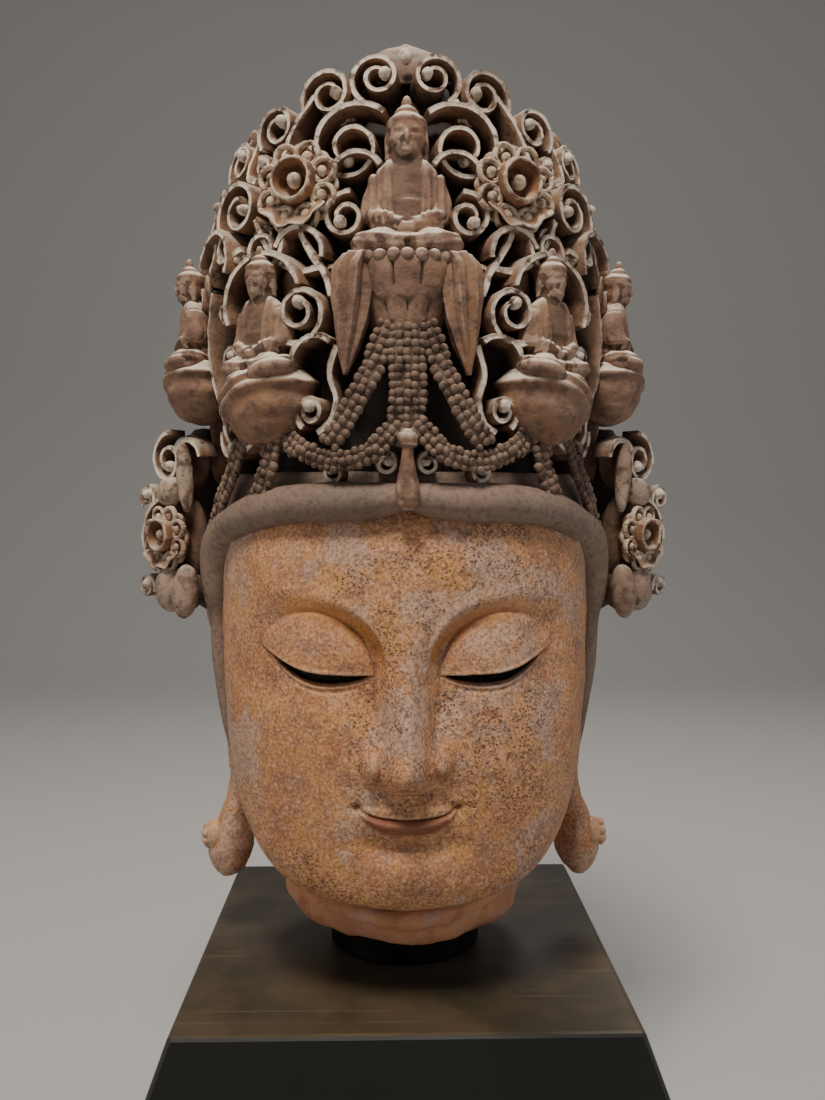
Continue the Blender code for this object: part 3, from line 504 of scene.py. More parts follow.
face_coats = (
    ("#CE9669", 1.0, (stain, 0.38, 0.60)),
    ("#C89250", 0.7, (cloud, 0.52, 0.66)),
    ("#A06A4A", 0.6, (cloud, 0.47, 0.36)),
    ("#BE9C88", 0.8, (bare,)),
    ("#947463", 0.6, (fleck, 0.50, 0.64)),
    ("#6E5040", 0.55, (sand, 0.52, 0.36)),
    ("#DDBEA2", 0.5, (sand, 0.54, 0.68)),
    ("#4A3327", 0.8, (pitted,)),
    ("#624639", 0.65, (blots, 0.53, 0.63), (peppered,)),
    # Painted shade in the hollows, then the edges paled for wear and as a painted highlight.
    ("#5E4030", 0.5, (wear_and_shade, -0.08, -0.5)),
    ("#D9BA9C", 0.35, (wear_and_shade, 0.14, 0.5)),
    ("#B97B3A", 0.6, (ochre,)),
    ("#80492F", 0.9, (red,)),
    # The eye slits' openings, painted near black as shade.
    ("#17110D", 1.0, (slit_shade, 0.15, 0.6)),
)
face_heights = ((grit, 0.7), (pitted, -1.0), (bare, -0.5))
lay_coats(face_paint, face_shader, "#BB8152", face_coats, face_heights, 0.0007)
rubbed = {"Value": stain, "From Min": 0.35, "From Max": 0.65, "To Min": 0.50, "To Max": 0.78}
dulled = add_node(face_paint, "ShaderNodeMapRange", {}, rubbed).outputs["Result"]
face_paint.node_tree.links.new(dulled, face_shader.inputs["Roughness"])

face_form = grid_form(FACE_COLUMNS, FACE_ROWS, face_shape)
weather(face_form, 4.0, 0.10)
weather(face_form, 0.9, 0.035, 7.0)
face_points = np.array([vert.co[:] for vert in face_form.verts])
face = finish_piece("face", face_form, face_paint)
across, height = np.abs(face_points[:, 0]), face_points[:, 2]
in_front = face_points[:, 1] < -8.0
_, slit_shade_share, lip_share = face_relief(across, height)
under_brow = between(BROW, across) - height
brow_band = rise(-0.1, 0.5, under_brow) * rise(3.2, 1.4, under_brow)
brow_band *= rise(1.6, 2.6, across) * rise(14.0, 11.0, across)
for kept, share in (("slit_shade", slit_shade_share), ("lip", lip_share), ("ochre", brow_band)):
    mark(face.data, kept, np.where(in_front, share, 0.0))
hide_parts("head")

# The neck: where the head broke from its body, the rough stone shows, with one soft fold under
# the chin left of the throat.
NECK_FORM = ((0.0, 11.0), (0.4, 12.4), (1.3, 13.4), (3.2, 13.9), (5.0, 13.4), (9.0, 12.8), (16.0, 13.0))
NECK_FORWARD, NECK_BACK = 1.2, 0.95  # its depth before and behind, for each part of radius
CHIN_ROLL = (
    (-10.8, -10.4, 6.0),
    (-6.4, -14.8, 4.6),
    (0.0, -16.9, 3.8),
    (6.4, -14.8, 4.6),
    (10.8, -10.4, 6.0),
)
CHIN_ROLL_SIZE = (1.1, 1.3)  # half width, half depth


def height_in(table, v):
    """The height at a share of the way up a table whose rows start with their height."""
    return table[0][0] + (table[-1][0] - table[0][0]) * v


def neck_shape(u, v):
    z = height_in(NECK_FORM, v**1.6)
    turn = 2.0 * np.pi * u
    broken = 1.0 + 0.02 * (z < 5.0) * (z > 0.01) * (np.sin(3.0 * turn + 1.0) + np.sin(7.0 * turn + z))
    radius = between(NECK_FORM, z) * broken
    deep = radius * np.where(np.cos(turn) > 0, NECK_FORWARD, NECK_BACK)
    return np.stack([radius * np.sin(turn), 0.2 - deep * np.cos(turn), z], axis=1)


def ways_of(path, outward):
    """At each point of a path, the way ahead and the way across it, both of length 1."""
    ahead = np.gradient(path, axis=0)
    ahead /= np.linalg.norm(ahead, axis=1)[:, None]
    side = np.cross(ahead, outward)
    return ahead, side / np.linalg.norm(side, axis=1)[:, None]


def swept(path, outward, wide, deep, section):
    """A form that carries a section, listed as across and out, along a path."""
    ahead, side = ways_of(path, outward)
    out = np.cross(side, ahead)
    wide, deep = np.broadcast_to(wide, len(path)), np.broadcast_to(deep, len(path))
    section = np.asarray(section)

    def shape(u, v):
        i = np.rint(v * (len(path) - 1)).astype(int)
        k = np.rint(u * len(section)).astype(int) % len(section)
        a, o = section[k, 0] * wide[i], section[k, 1] * deep[i]
        return path[i] + side[i] * a[:, None] + out[i] * o[:, None]

    return grid_form(len(section), len(path) - 1, shape)


def ring_section(sides):
    turn = 2.0 * np.pi * np.arange(sides) / sides
    return np.stack([np.cos(turn), np.sin(turn)], axis=1)


def smooth_path(points, steps):
    """Points at even steps on a smooth line through a few chosen ones, extra columns too."""
    points = np.asarray(points, dtype=float)
    reach = np.concatenate([[0.0], np.cumsum(np.linalg.norm(np.diff(points[:, :3], axis=0), axis=1))])
    keys = np.linspace(0.0, reach[-1], steps)
    columns = [between(np.stack([reach, points[:, i]], axis=1), keys) for i in range(points.shape[1])]
    return np.stack(columns, axis=1)


def round_out(path):
    """The level way out from the stone's middle, at each point of a path."""
    level = path[:, :3] * np.array([1.0, 1.0, 0.0])
    return level / np.maximum(np.linalg.norm(level, axis=1), 1e-6)[:, None]


# Freshly broken stone is matt and coarse, paler and pinker than the skin above it.
neck_stone, neck_shader = new_material("broken_sandstone", 0.88)
_, wear_and_shade, grit, stain, cloud = stone_patterns(neck_stone)
neck_coats = (
    ("#C69069", 1.0, (stain, 0.35, 0.62)),
    ("#925C44", 0.6, (cloud, 0.5, 0.36)),
    ("#B39080", 0.6, (cloud, 0.54, 0.66)),
    # Painted shade in the hollows of the broken stone.
    ("#4E3226", 0.7, (wear_and_shade, -0.04, -0.4)),
)
lay_coats(neck_stone, neck_shader, "#AC7556", neck_coats, ((grit, 1.0), (cloud, 1.0)), 0.0016)

neck_form = bmesh.new()
take_in(neck_form, grid_form(160, 70, neck_shape))
chin_path = smooth_path(CHIN_ROLL, 70)
take_in(neck_form, swept(chin_path, round_out(chin_path), *CHIN_ROLL_SIZE, ring_section(20)))
weather(neck_form, 2.6, 0.22)
weather(neck_form, 0.8, 0.08, 3.0)
for vert in neck_form.verts:
    vert.co.z = max(vert.co.z, 0.0)
finish_piece("broken_neck", neck_form, neck_stone)

# The hair: two smooth swathes roll back from a peak at the parting, a lock hangs before each ear,
# and the hair behind is combed up under the crown. It was painted dark over the stone.
HAIR_FORM = (
    (14.0, 9.0, 8.0),
    (16.0, 13.6, 12.0),
    (19.0, 16.2, 14.4),
    (24.0, 18.2, 16.2),
    (32.0, 19.9, 17.6),
    (40.0, 20.7, 18.4),
    (46.0, 21.0, 18.6),
    (48.0, 20.6, 18.2),
)
HAIR_MIDDLE = 1.2
HAIR_SQUARENESS = 2.2
FOREHEAD_ROLL = (
    (0.0, -18.7, 45.5, 1.3),
    (2.5, -18.9, 45.2, 1.7),
    (6.5, -18.3, 45.0, 1.9),
    (11.0, -16.7, 44.8, 1.9),
    (15.0, -13.8, 44.0, 1.9),
    (18.0, -10.6, 42.6, 1.7),
)
TEMPLE_LOCK = (
    (15.8, -12.4, 43.8, 1.4),
    (18.6, -9.2, 42.4, 1.9),
    (20.0, -6.4, 39.8, 2.1),
    (20.4, -5.2, 36.0, 1.8),
    (20.4, -4.4, 32.8, 1.2),
    (20.2, -3.8, 27.0, 1.0),
    (19.7, -3.2, 21.5, 0.85),
    (19.2, -2.8, 17.0, 0.5),
)
STRANDS_ROUND = 150
SWATHE_DEPTH = 2.1


def back_hair_shape(u, v):
    z = height_in(HAIR_FORM, v)
    turn = 2.0 * np.pi * u
    combed = 0.16 * np.abs(np.sin(0.5 * STRANDS_ROUND * turn + 0.8 * np.sin(z / 6.0)))
    wide, deep = between(HAIR_FORM, z, 1) + combed, between(HAIR_FORM, z, 2) + combed
    x = wide * signed_power(np.sin(turn), 2.0 / HAIR_SQUARENESS)
    y = HAIR_MIDDLE - deep * signed_power(np.cos(turn), 2.0 / HAIR_SQUARENESS)
    return np.stack([x, y, z], axis=1)


# Dark brown paint gone matt, rubbed to grey on the swathes, with painted shade that makes it nearly black
# between strands.
hair_paint, hair_shader = new_material("dark_paint_on_sandstone", 0.7)
_, wear_and_shade, grit, stain, cloud = stone_patterns(hair_paint)
hair_coats = (
    ("#877164", 1.0, (stain, 0.38, 0.62)),
    ("#7B5A3C", 1.0, (cloud, 0.60, 0.72)),
    ("#9A8471", 0.6, (wear_and_shade, 0.05, 0.4)),
    ("#2E231D", 0.85, (wear_and_shade, -0.02, -0.3)),
    ("#4A3B32", 0.4, (grit, 0.52, 0.36)),
)
lay_coats(hair_paint, hair_shader, "#715E53", hair_coats, ((grit, 1.0),), 0.0008)

hair_form = bmesh.new()
take_in(hair_form, grid_form(300, 60, back_hair_shape))
both_sides = [(-x, y, z, size) for x, y, z, size in FOREHEAD_ROLL[:0:-1]] + list(FOREHEAD_ROLL)
swathe_path = smooth_path(both_sides, 120)
swathe = swept(swathe_path[:, :3], round_out(swathe_path), swathe_path[:, 3], SWATHE_DEPTH, ring_section(40))
take_in(hair_form, swathe)
lock_path = smooth_path(TEMPLE_LOCK, 80)
lock = swept(lock_path[:, :3], round_out(lock_path), lock_path[:, 3], lock_path[:, 3], ring_section(24))
take_in(hair_form, lock, mirrored=True)
weather(hair_form, 5.0, 0.14)
weather(hair_form, 0.8, 0.03, 4.0)
finish_piece("painted_hair", hair_form, hair_paint)

# The ears: each has a raised rim and a long lobe that swings out at the foot, with a worn stud.
EAR_FORM = (
    (1.6, 20.6, 0.7, 0.9),
    (2.8, 20.5, 1.9, 2.1),
    (5.0, 20.3, 2.6, 2.8),
    (8.0, 19.9, 2.1, 2.7),
    (12.0, 19.3, 1.2, 2.3),
    (17.0, 19.2, 1.1, 2.4),
    (23.0, 19.9, 1.3, 3.1),
    (30.0, 20.6, 1.4, 3.7),
    (36.5, 20.9, 1.4, 3.2),
    (39.0, 20.0, 0.8, 1.4),
)
EAR_BACK = 1.6
EAR_STUD = (21.9, 0.8, 6.6)
STUD_BEADS = 7
EAR_RIM = (
    (21.6, -0.6, 31.0, 0.6),
    (21.9, -0.9, 35.0, 0.7),
    (21.9, 0.6, 38.4, 0.75),
    (21.8, 3.4, 37.6, 0.8),
    (21.7, 4.9, 33.0, 0.75),
    (21.3, 4.4, 27.0, 0.7),
    (20.6, 3.4, 21.0, 0.6),
    (20.2, 2.6, 14.0, 0.5),
)


def ear_shape(u, v):
    z = height_in(EAR_FORM, v)
    turn = 2.0 * np.pi * u
    middle, wide, deep = (between(EAR_FORM, z, column) for column in (1, 2, 3))
    return np.stack([middle + wide * np.sin(turn), EAR_BACK - deep * np.cos(turn), z], axis=1)


def pebble(place, size, turned=None, sides=14, rows=9):
    """A round lump at a place, its three half widths given, turned if asked."""
    form = bmesh.new()
    bmesh.ops.create_uvsphere(form, u_segments=sides, v_segments=rows, radius=1.0)
    setting = Matrix.Translation(Vector(place)) @ (turned or Matrix()).to_4x4()
    setting = setting @ Matrix.Diagonal((*size, 1.0))
    bmesh.ops.transform(form, matrix=setting, verts=form.verts)
    return form


ear_form = bmesh.new()
take_in(ear_form, grid_form(40, 110, ear_shape), mirrored=True)
rim_path = smooth_path(EAR_RIM, 60)
sideways = np.tile([1.0, 0.0, 0.0], (60, 1))
rim = swept(rim_path[:, :3], sideways, rim_path[:, 3], rim_path[:, 3], ring_section(14))
take_in(ear_form, rim, mirrored=True)
take_in(ear_form, pebble(EAR_STUD, (1.3, 1.7, 1.8)), mirrored=True)
for i in range(STUD_BEADS):
    turn = 2.0 * np.pi * i / STUD_BEADS
    bump = Vector(EAR_STUD) + Vector((1.0, np.cos(turn), 1.1 * np.sin(turn)))
    take_in(ear_form, pebble(bump, (0.5, 0.5, 0.5), sides=10, rows=7), mirrored=True)
weather(ear_form, 1.6, 0.2)
weather(ear_form, 0.6, 0.08, 5.0)
finish_piece("ears", ear_form, face_paint)

# The crown's ground: the tall knot of hair, combed up and left dark behind the openwork, where painted shade
# makes it near black. At the back, where nobody carved, the plain stone comes out to the crown's outer
# surface.
# Height, half width, front depth, back depth.
CROWN_FORM = (
    (44.0, 20.8, 19.4, 17.6),
    (48.0, 21.6, 19.8, 17.8),
    (53.0, 22.6, 20.1, 17.8),
    (58.0, 23.4, 20.3, 17.6),
    (63.0, 23.6, 20.2, 17.2),
    (68.0, 23.2, 19.6, 16.6),
    (73.0, 22.3, 18.6, 15.8),
    (78.0, 20.9, 17.2, 14.6),
    (83.0, 18.8, 15.3, 13.0),
    (87.0, 16.2, 13.2, 11.0),
    (90.0, 13.4, 11.0, 9.0),
    (92.5, 10.0, 8.3, 6.6),
    (94.0, 6.5, 5.5, 4.2),
    (95.0, 1.5, 1.4, 1.0),
)
CARVING_DEPTH = 3.2
OPENWORK_END = 118.0  # degrees round from the front, where the back's plain stone begins
COMBED_STRANDS = 132


def crown_outline(turn, z, out=0.0):
    """Points of the crown's outer surface, for a turn from the front and a height."""
    wide = between(CROWN_FORM, z, 1) + out
    deep = np.where(np.cos(turn) > 0, between(CROWN_FORM, z, 2), between(CROWN_FORM, z, 3)) + out
    return np.stack(np.broadcast_arrays(wide * np.sin(turn), -deep * np.cos(turn), z), axis=-1)


def crown_core_shape(u, v):
    z = height_in(CROWN_FORM, v)
    turn = 2.0 * np.pi * u
    aside = 180.0 - np.abs(180.0 - np.degrees(turn))
    depth = CARVING_DEPTH * (1.0 - 0.8 * rise(OPENWORK_END - 10.0, OPENWORK_END + 15.0, aside))
    depth = np.minimum(depth, 0.8 * between(CROWN_FORM, z, 3))
    comb = 0.22 * np.abs(np.sin(0.5 * COMBED_STRANDS * turn + 1.2 * np.sin(z / 7.0)))
    comb = comb * rise(95.0, 88.0, z)
    point = crown_outline(turn, z, comb - depth)
    point[:, 2] -= 0.5 * depth * rise(70.0, 95.0, z)
    return point


def crown_depth(x, y, z):
    """How deep a point lies in the crown's carving, from 0 outside to 1 at the ground, for the painted shade
    that darkens the carving.
    """
    wide, front, back = (between(CROWN_FORM, z, column) for column in (1, 2, 3))
    deep = np.where(y < 0, front, back)
    share = np.sqrt((x / wide) ** 2 + (y / deep) ** 2)
    return np.clip((1.0 - share) * deep / CARVING_DEPTH, 0.0, 1.0)


def carved_stone(name, colours, gilt, dust_and_top_light, rubbed):
    """Painted sandstone of the crown: old gilt, painted shade in the hollows and deeper in the carving, dust
    with painted top light on what faces up, and rubbed edges with a painted highlight.
    """
    material, shader = new_material(name, 0.82)
    main, second, dark_paint_and_shade, pale_dust_and_highlight, gold = colours
    _, wear_and_shade, grit, stain, cloud, blotch = stone_patterns(material, (75.0, 5.0, 0.65))
    depth, bare = [
        add_node(material, "ShaderNodeAttribute", {"attribute_name": kept}).outputs["Fac"]
        for kept in ("deep", "bare")
    ]
    facing = add_node(material, "ShaderNodeNewGeometry").outputs["Normal"]
    upward = add_node(material, "ShaderNodeSeparateXYZ", {}, {0: facing}).outputs["Z"]
    worn_and_highlit_edges = share_of(material, 1.0, (wear_and_shade, 0.16, 0.6), (blotch, 0.34, 0.56))
    coats = (
        (second, 1.0, (cloud, 0.40, 0.62)),
        (gold, gilt, (stain, 0.46, 0.60), (blotch, 0.40, 0.60)),
        (dark_paint_and_shade, 0.45, (bare,)),
        (dark_paint_and_shade, 0.45, (blotch, 0.52, 0.36)),
        # Painted shade in the hollows.
        (dark_paint_and_shade, 0.65, (wear_and_shade, -0.08, -0.6)),
        # Dust, with painted top light, on what faces up.
        (pale_dust_and_highlight, dust_and_top_light, (upward, 0.35, 0.90), (blotch, 0.30, 0.48)),
        # Rubbed edges, with a painted highlight on them.
        (pale_dust_and_highlight, rubbed * 0.5, (worn_and_highlit_edges,)),
        (pale_dust_and_highlight, rubbed, (worn_and_highlit_edges,), (stain, 0.40, 0.56)),
        # Painted shade, darker the further into the carving.
        (dark_paint_and_shade, 0.85, (depth, 0.12, 0.90)),
    )
    lay_coats(material, shader, main, coats, ((grit, 1.0), (blotch, 1.0)), 0.0012)
    return material


ground_colours = ("#3E2F26", "#4C3A2F", "#1A1310", "#5A4A3E", "#543C28")
ground_paint = carved_stone("dark_ground_with_painted_shade", ground_colours, 0.25, 0.3, 0.3)
core_form = grid_form(270, 100, crown_core_shape)
weather(core_form, 2.6, 0.35)
weather(core_form, 0.8, 0.12, 6.0)
finish_piece("crown_ground", core_form, ground_paint, crown_depth)

# The scrolls: bands of stone pierced right through to the ground, each curling in to a drilled
# knob. Angle from the front, height, radius, way round, end of the spiral, turns.
SCROLLS = (
    (10.5, 87.6, 2.9, -1, 300, 1.6),
    (27.5, 86.0, 3.1, -1, 325, 1.6),
    (44.0, 83.0, 2.7, -1, 320, 1.5),
    (60.0, 80.4, 2.5, -1, 320, 1.4),
    (15.5, 79.4, 4.6, 1, 136, 1.6),
    (51.0, 74.6, 3.5, -1, 330, 1.6),
    (15.0, 72.2, 2.4, 1, 100, 1.4),
    (26.0, 63.2, 3.2, 1, 303, 1.6),
    (24.0, 53.6, 1.7, -1, 300, 1.4),
    (51.0, 51.5, 2.4, 1, 20, 1.3),
    (74.0, 66.5, 2.8, 1, 100, 1.4),
    (76.0, 77.0, 3.0, -1, 200, 1.5),
    (84.0, 70.5, 2.6, 1, 200, 1.4),
    (80.0, 84.5, 2.6, -1, 200, 1.4),
    (38.0, 69.8, 2.6, -1, 150, 1.3),
    (92.0, 59.5, 3.4, 1, 120, 1.6),
    (97.0, 79.0, 3.2, -1, 200, 1.6),
    (99.0, 70.0, 3.6, 1, 200, 1.6),
    (108.0, 62.0, 3.4, -1, 200, 1.6),
    (106.0, 52.5, 3.4, 1, 200, 1.6),
    (104.0, 86.5, 2.6, -1, 200, 1.5),
)
# Small curls that fill the gaps, a little deeper in: the same, then how deep.
SMALL_CURLS = (
    (5.6, 48.6, 1.1, -1, 100, 1.1, 0.4),
    (19.5, 47.8, 1.1, 1, 80, 1.1, 0.6),
    (12.5, 66.5, 1.4, -1, 60, 1.2, 1.2),
    (19.0, 66.8, 1.2, 1, 240, 1.2, 1.3),
    (33.5, 80.0, 1.5, -1, 140, 1.2, 0.9),
    (20.5, 83.2, 1.1, 1, 200, 1.1, 1.0),
    (38.5, 79.0, 1.3, 1, 30, 1.1, 1.2),
    (41.0, 71.2, 1.5, 1, 250, 1.2, 1.0),
    (47.5, 79.2, 1.2, -1, 60, 1.1, 0.8),
    (50.5, 69.2, 1.3, 1, 180, 1.2, 1.0),
    (53.5, 64.5, 1.7, -1, 90, 1.3, 0.8),
    (52.0, 59.4, 1.6, 1, 200, 1.2, 0.9),
    (57.0, 55.4, 1.5, -1, 160, 1.2, 0.8),
    (61.0, 75.5, 1.6, 1, 60, 1.2, 0.6),
    (34.0, 50.6, 1.1, 1, 250, 1.1, 0.9),
    (62.0, 48.6, 1.6, -1, 80, 1.2, 0.8),
    (89.0, 66.0, 1.8, 1, 260, 1.3, 0.7),
    (91.0, 74.8, 1.7, -1, 20, 1.2, 0.6),
    (88.0, 81.0, 1.6, 1, 100, 1.2, 0.6),
    (101.0, 57.0, 1.7, -1, 300, 1.2, 0.6),
    (108.0, 73.5, 1.8, 1, 120, 1.2, 0.6),
    (110.0, 80.0, 1.5, -1, 200, 1.2, 0.6),
)
# Vines that tie the scrolls together, by angle and height along each.
VINES = (
    ((28.5, 72.2), (26.0, 70.2), (23.0, 68.4), (20.0, 66.8), (18.0, 64.6)),
    ((43.0, 73.2), (38.0, 70.4), (32.0, 68.2), (26.0, 67.2), (21.0, 67.4)),
    ((34.0, 86.4), (37.0, 83.0), (37.5, 79.6), (36.0, 77.0)),
    ((51.0, 84.8), (53.5, 81.4), (52.5, 78.6), (47.0, 77.4)),
    ((60.0, 77.0), (62.0, 73.4), (60.0, 70.4), (55.0, 69.8), (47.0, 70.4)),
    ((16.5, 85.0), (19.0, 83.4), (21.5, 84.6), (24.0, 83.0)),
    ((61.5, 66.8), (63.0, 62.0), (60.5, 57.6), (57.0, 53.4), (56.0, 49.0)),
    ((16.6, 59.8), (18.6, 57.2), (17.4, 54.6), (19.6, 52.6), (23.0, 51.6)),
    ((68.0, 84.0), (71.0, 80.5), (70.0, 76.0), (66.0, 72.0), (68.0, 68.0)),
    ((86.0, 76.0), (90.0, 71.0), (87.0, 66.0), (88.0, 61.0), (94.0, 55.0), (98.0, 49.0)),
    ((103.0, 83.0), (107.0, 77.0), (105.0, 71.0), (110.0, 66.0), (112.0, 59.0), (110.0, 50.0)),
    ((72.0, 57.0), (76.0, 53.0), (82.0, 50.0), (88.0, 46.8)),
)
# Plain arches of ribbon: angle, height, radius, from, to, in degrees round the arch.
ARCHES = (
    (37.0, 64.6, 4.6, 165, -25),
    (27.0, 68.8, 2.6, 190, 20),
    (22.0, 58.4, 2.4, 130, -10),
    (47.0, 52.8, 2.6, 175, 375),
    (62.0, 69.5, 3.6, 200, 10),
    (13.0, 76.0, 2.6, 150, -20),
    (88.0, 50.5, 3.0, 160, 400),
)
SCROLL_GROWTH = 2.2  # how much wider each turn is than the last
RIM = 0.30
RIM_PROUD = 0.15
RIBBON_DEPTH = CARVING_DEPTH + 0.3
RIBBON_STEPS = 56
ARCH_STEPS = 32
KNOB_WEAR = 0.6
CURL_RIM = 0.25
VINE_RIM = 0.34
VINE_SUNK = 0.35


def crown_point(angle, z, out=0.0):
    return crown_outline(np.radians(angle), np.array(float(z)), out)


def crown_frame(angle, z):
    """A place on the crown, with across, up and outward. The front's carving stands upright."""
    upright = 0.15 + 0.75 * float(rise(45.0, 80.0, angle))
    here = crown_point(angle, z, -0.5 * float(rise(50.0, 75.0, angle)))
    across = Vector(crown_point(angle + 1.0, z) - crown_point(angle - 1.0, z)).normalized()
    level = across.cross(Vector((0.0, 0.0, 1.0)))
    lean = Vector(crown_point(angle, z - 1.0) - crown_point(angle, z + 1.0)).dot(level) / 2.0
    out = (level + Vector((0.0, 0.0, lean * upright))).normalized()
    return Vector(here), across, out.cross(across), out


def sunk(setting, by):
    centre, across, up, out = setting
    return centre - out * by, across, up, out


def set_out(setting, turn, reach):
    """The points at those turns and reaches round a place on the stone."""
    centre, across, up, _ = (np.array(v) for v in setting)
    return centre + np.outer(reach * np.cos(turn), across) + np.outer(reach * np.sin(turn), up)


def keep_wear_and_shade(form, values):
    """Says outright how rubbed each point of a form is, above 0, or how deep in painted shade, below 0, where
    its shape alone would mislead.
    """
    layer = form.verts.layers.float.new("wear_and_shade")
    for vert, value in zip(form.verts, values):
        vert[layer] = value


def band(piece, path, out, depth=RIBBON_DEPTH, rim=RIM, taper=None):
    """A ribbon of stone along a path, its outer edge lightly hollowed, and its mirror image."""
    edge = RIM_PROUD
    section = (
        (-1.0, -depth),
        (1.0, -depth),
        (1.04, edge - 0.55),
        (1.08, edge - 0.2),
        (0.8, edge),
        (0.0, edge - 0.08),
        (-0.8, edge),
        (-1.08, edge - 0.2),
        (-1.04, edge - 0.55),
    )
    wide = rim * (np.ones(len(path)) if taper is None else taper)
    outward = np.broadcast_to(np.array(out), (len(path), 3))
    form = swept(path, outward, wide, 1.0, section)
    points = np.array([vert.co[:] for vert in form.verts])
    nearest = np.linalg.norm(points[:, None] - path[None], axis=2).argmin(axis=1)
    height = ((points - path[nearest]) * outward[nearest]).sum(axis=1)
    beside = np.linalg.norm(points - path[nearest] - height[:, None] * outward[nearest], axis=1)
    # The rim's top is marked rubbed, which the material pales for wear and as a painted highlight; lower on
    # the walls the mark falls below 0, for painted shade.
    rubbed = rise(edge - 0.4, edge - 0.1, height) * rise(1.15, 0.2, beside / wide[nearest])
    keep_wear_and_shade(form, rubbed - 0.5 * rise(edge - 1.4, -depth, height))
    take_in(piece, form, mirrored=True)


def carve_scroll(piece, setting, radius, way, end, turns, depth=RIBBON_DEPTH, rim=RIM):
    """A ribbon that curls in to a knob, in the turns given, and its mirror image."""
    _, across, up, out = setting
    left = turns * (1.0 - np.linspace(0.0, 1.0, RIBBON_STEPS))
    turn = np.radians(end) - way * 2.0 * np.pi * left
    path = set_out(setting, turn, radius * SCROLL_GROWTH**-left)
    taper = 0.62 + 0.38 * np.linspace(0.0, 1.0, RIBBON_STEPS) ** 0.5
    band(piece, path, out, depth, rim, taper)
    knob = rim * 2.1
    turned = Matrix((across, up, out)).transposed()
    ball = pebble(Vector(path[0]) - out * 0.1, (knob, knob, knob * 1.4), turned, 12, 8)
    keep_wear_and_shade(ball, [KNOB_WEAR] * len(ball.verts))
    take_in(piece, ball, mirrored=True)


def carve_arch(piece, setting, radius, start, end, depth=RIBBON_DEPTH):
    turn = np.radians(np.linspace(start, end, ARCH_STEPS))
    band(piece, set_out(setting, turn, np.full(ARCH_STEPS, radius)), setting[3], depth)


scroll_colours = ("#785B49", "#8F705B", "#34261E", "#EADFCE", "#966A40")
scroll_paint = carved_stone("dusty_highlit_painted_sandstone", scroll_colours, 0.45, 0.4, 0.9)
scroll_form = bmesh.new()
for angle, z, radius, way, end, turns in SCROLLS:
    carve_scroll(scroll_form, crown_frame(angle, z), radius, way, end, turns)
for angle, z, radius, start, end in ARCHES:
    carve_arch(scroll_form, crown_frame(angle, z), radius, start, end)
for angle, z, radius, way, end, turns, depth in SMALL_CURLS:
    setting = sunk(crown_frame(angle, z), depth)
    carve_scroll(scroll_form, setting, radius, way, end, turns, RIBBON_DEPTH - depth, CURL_RIM)
for vine in VINES:
    bends = smooth_path([(angle, z, 0.0) for angle, z in vine], 34)
    settings = [sunk(crown_frame(angle, z), VINE_SUNK) for angle, z, _ in bends]
    path = np.array([setting[0] for setting in settings])
    band(scroll_form, path, [setting[3] for setting in settings], RIBBON_DEPTH - 0.5, VINE_RIM)
weather(scroll_form, 1.3, 0.13)
weather(scroll_form, 0.4, 0.08, 2.0)
finish_piece("openwork_scrolls", scroll_form, scroll_paint, crown_depth, 50.0)

# The crest: one pointed leaf stands behind the topmost pair of scrolls, with a small bead.
CREST_LEAF = ((88.0, 5.8, -9.8), (91.4, 4.6, -7.2), (93.0, 3.2, -5.4), (94.3, 1.5, -3.8), (95.0, 0.2, -3.0))
CREST_BEAD = ((0.0, -10.9, 90.4), (0.7, 0.7, 0.85))


def crest_shape(u, v):
    z = height_in(CREST_LEAF, v)
    turn = 2.0 * np.pi * u
    half, back = between(CREST_LEAF, z, 1), between(CREST_LEAF, z, 2)
    thick = 1.0 - 0.5 * np.cos(turn) * (1.0 - np.abs(np.sin(turn))) * (np.cos(turn) > 0)
    return np.stack([half * np.sin(turn), back - thick * np.cos(turn), z], axis=1)


crest_form = bmesh.new()
take_in(crest_form, grid_form(60, 30, crest_shape))
take_in(crest_form, pebble(*CREST_BEAD, sides=20, rows=12))
weather(crest_form, 1.5, 0.15)
finish_piece("crest_leaf", crest_form, scroll_paint, crown_depth)

# The seated figures: five small ones in robes, with legs crossed under cloth and a plain worn
# face, each carved in one with the crown. All are one form, in finer facets for the central one.
# Height, half width, half depth, how far forward.
TORSO = (
    (0.0, 3.1, 2.3, 0.3),
    (2.0, 3.15, 2.2, 0.2),
    (4.0, 3.15, 2.05, 0.1),
    (5.6, 3.0, 1.85, 0.0),
    (6.7, 2.65, 1.6, 0.0),
    (7.4, 2.05, 1.35, 0.0),
    (7.9, 1.55, 1.2, 0.1),
    (8.8, 1.35, 1.1, 0.2),
)
ARM = ((2.2, 0.1, 6.2, 1.05), (2.5, 0.0, 4.8, 1.15), (2.7, -0.3, 3.4, 1.2), (2.5, -0.9, 2.4, 1.1))
FOREARM = ((2.7, -1.1, 2.4, 0.95), (1.7, -2.1, 1.95, 0.8), (0.4, -2.6, 1.8, 0.65))
LEG = (
    (1.4, 0.4, 0.3, 1.2),
    (3.5, -0.7, 0.3, 1.15),
    (4.0, -1.8, 0.2, 1.1),
    (2.3, -2.6, 0.1, 1.0),
    (0.2, -3.0, 0.1, 0.8),
)
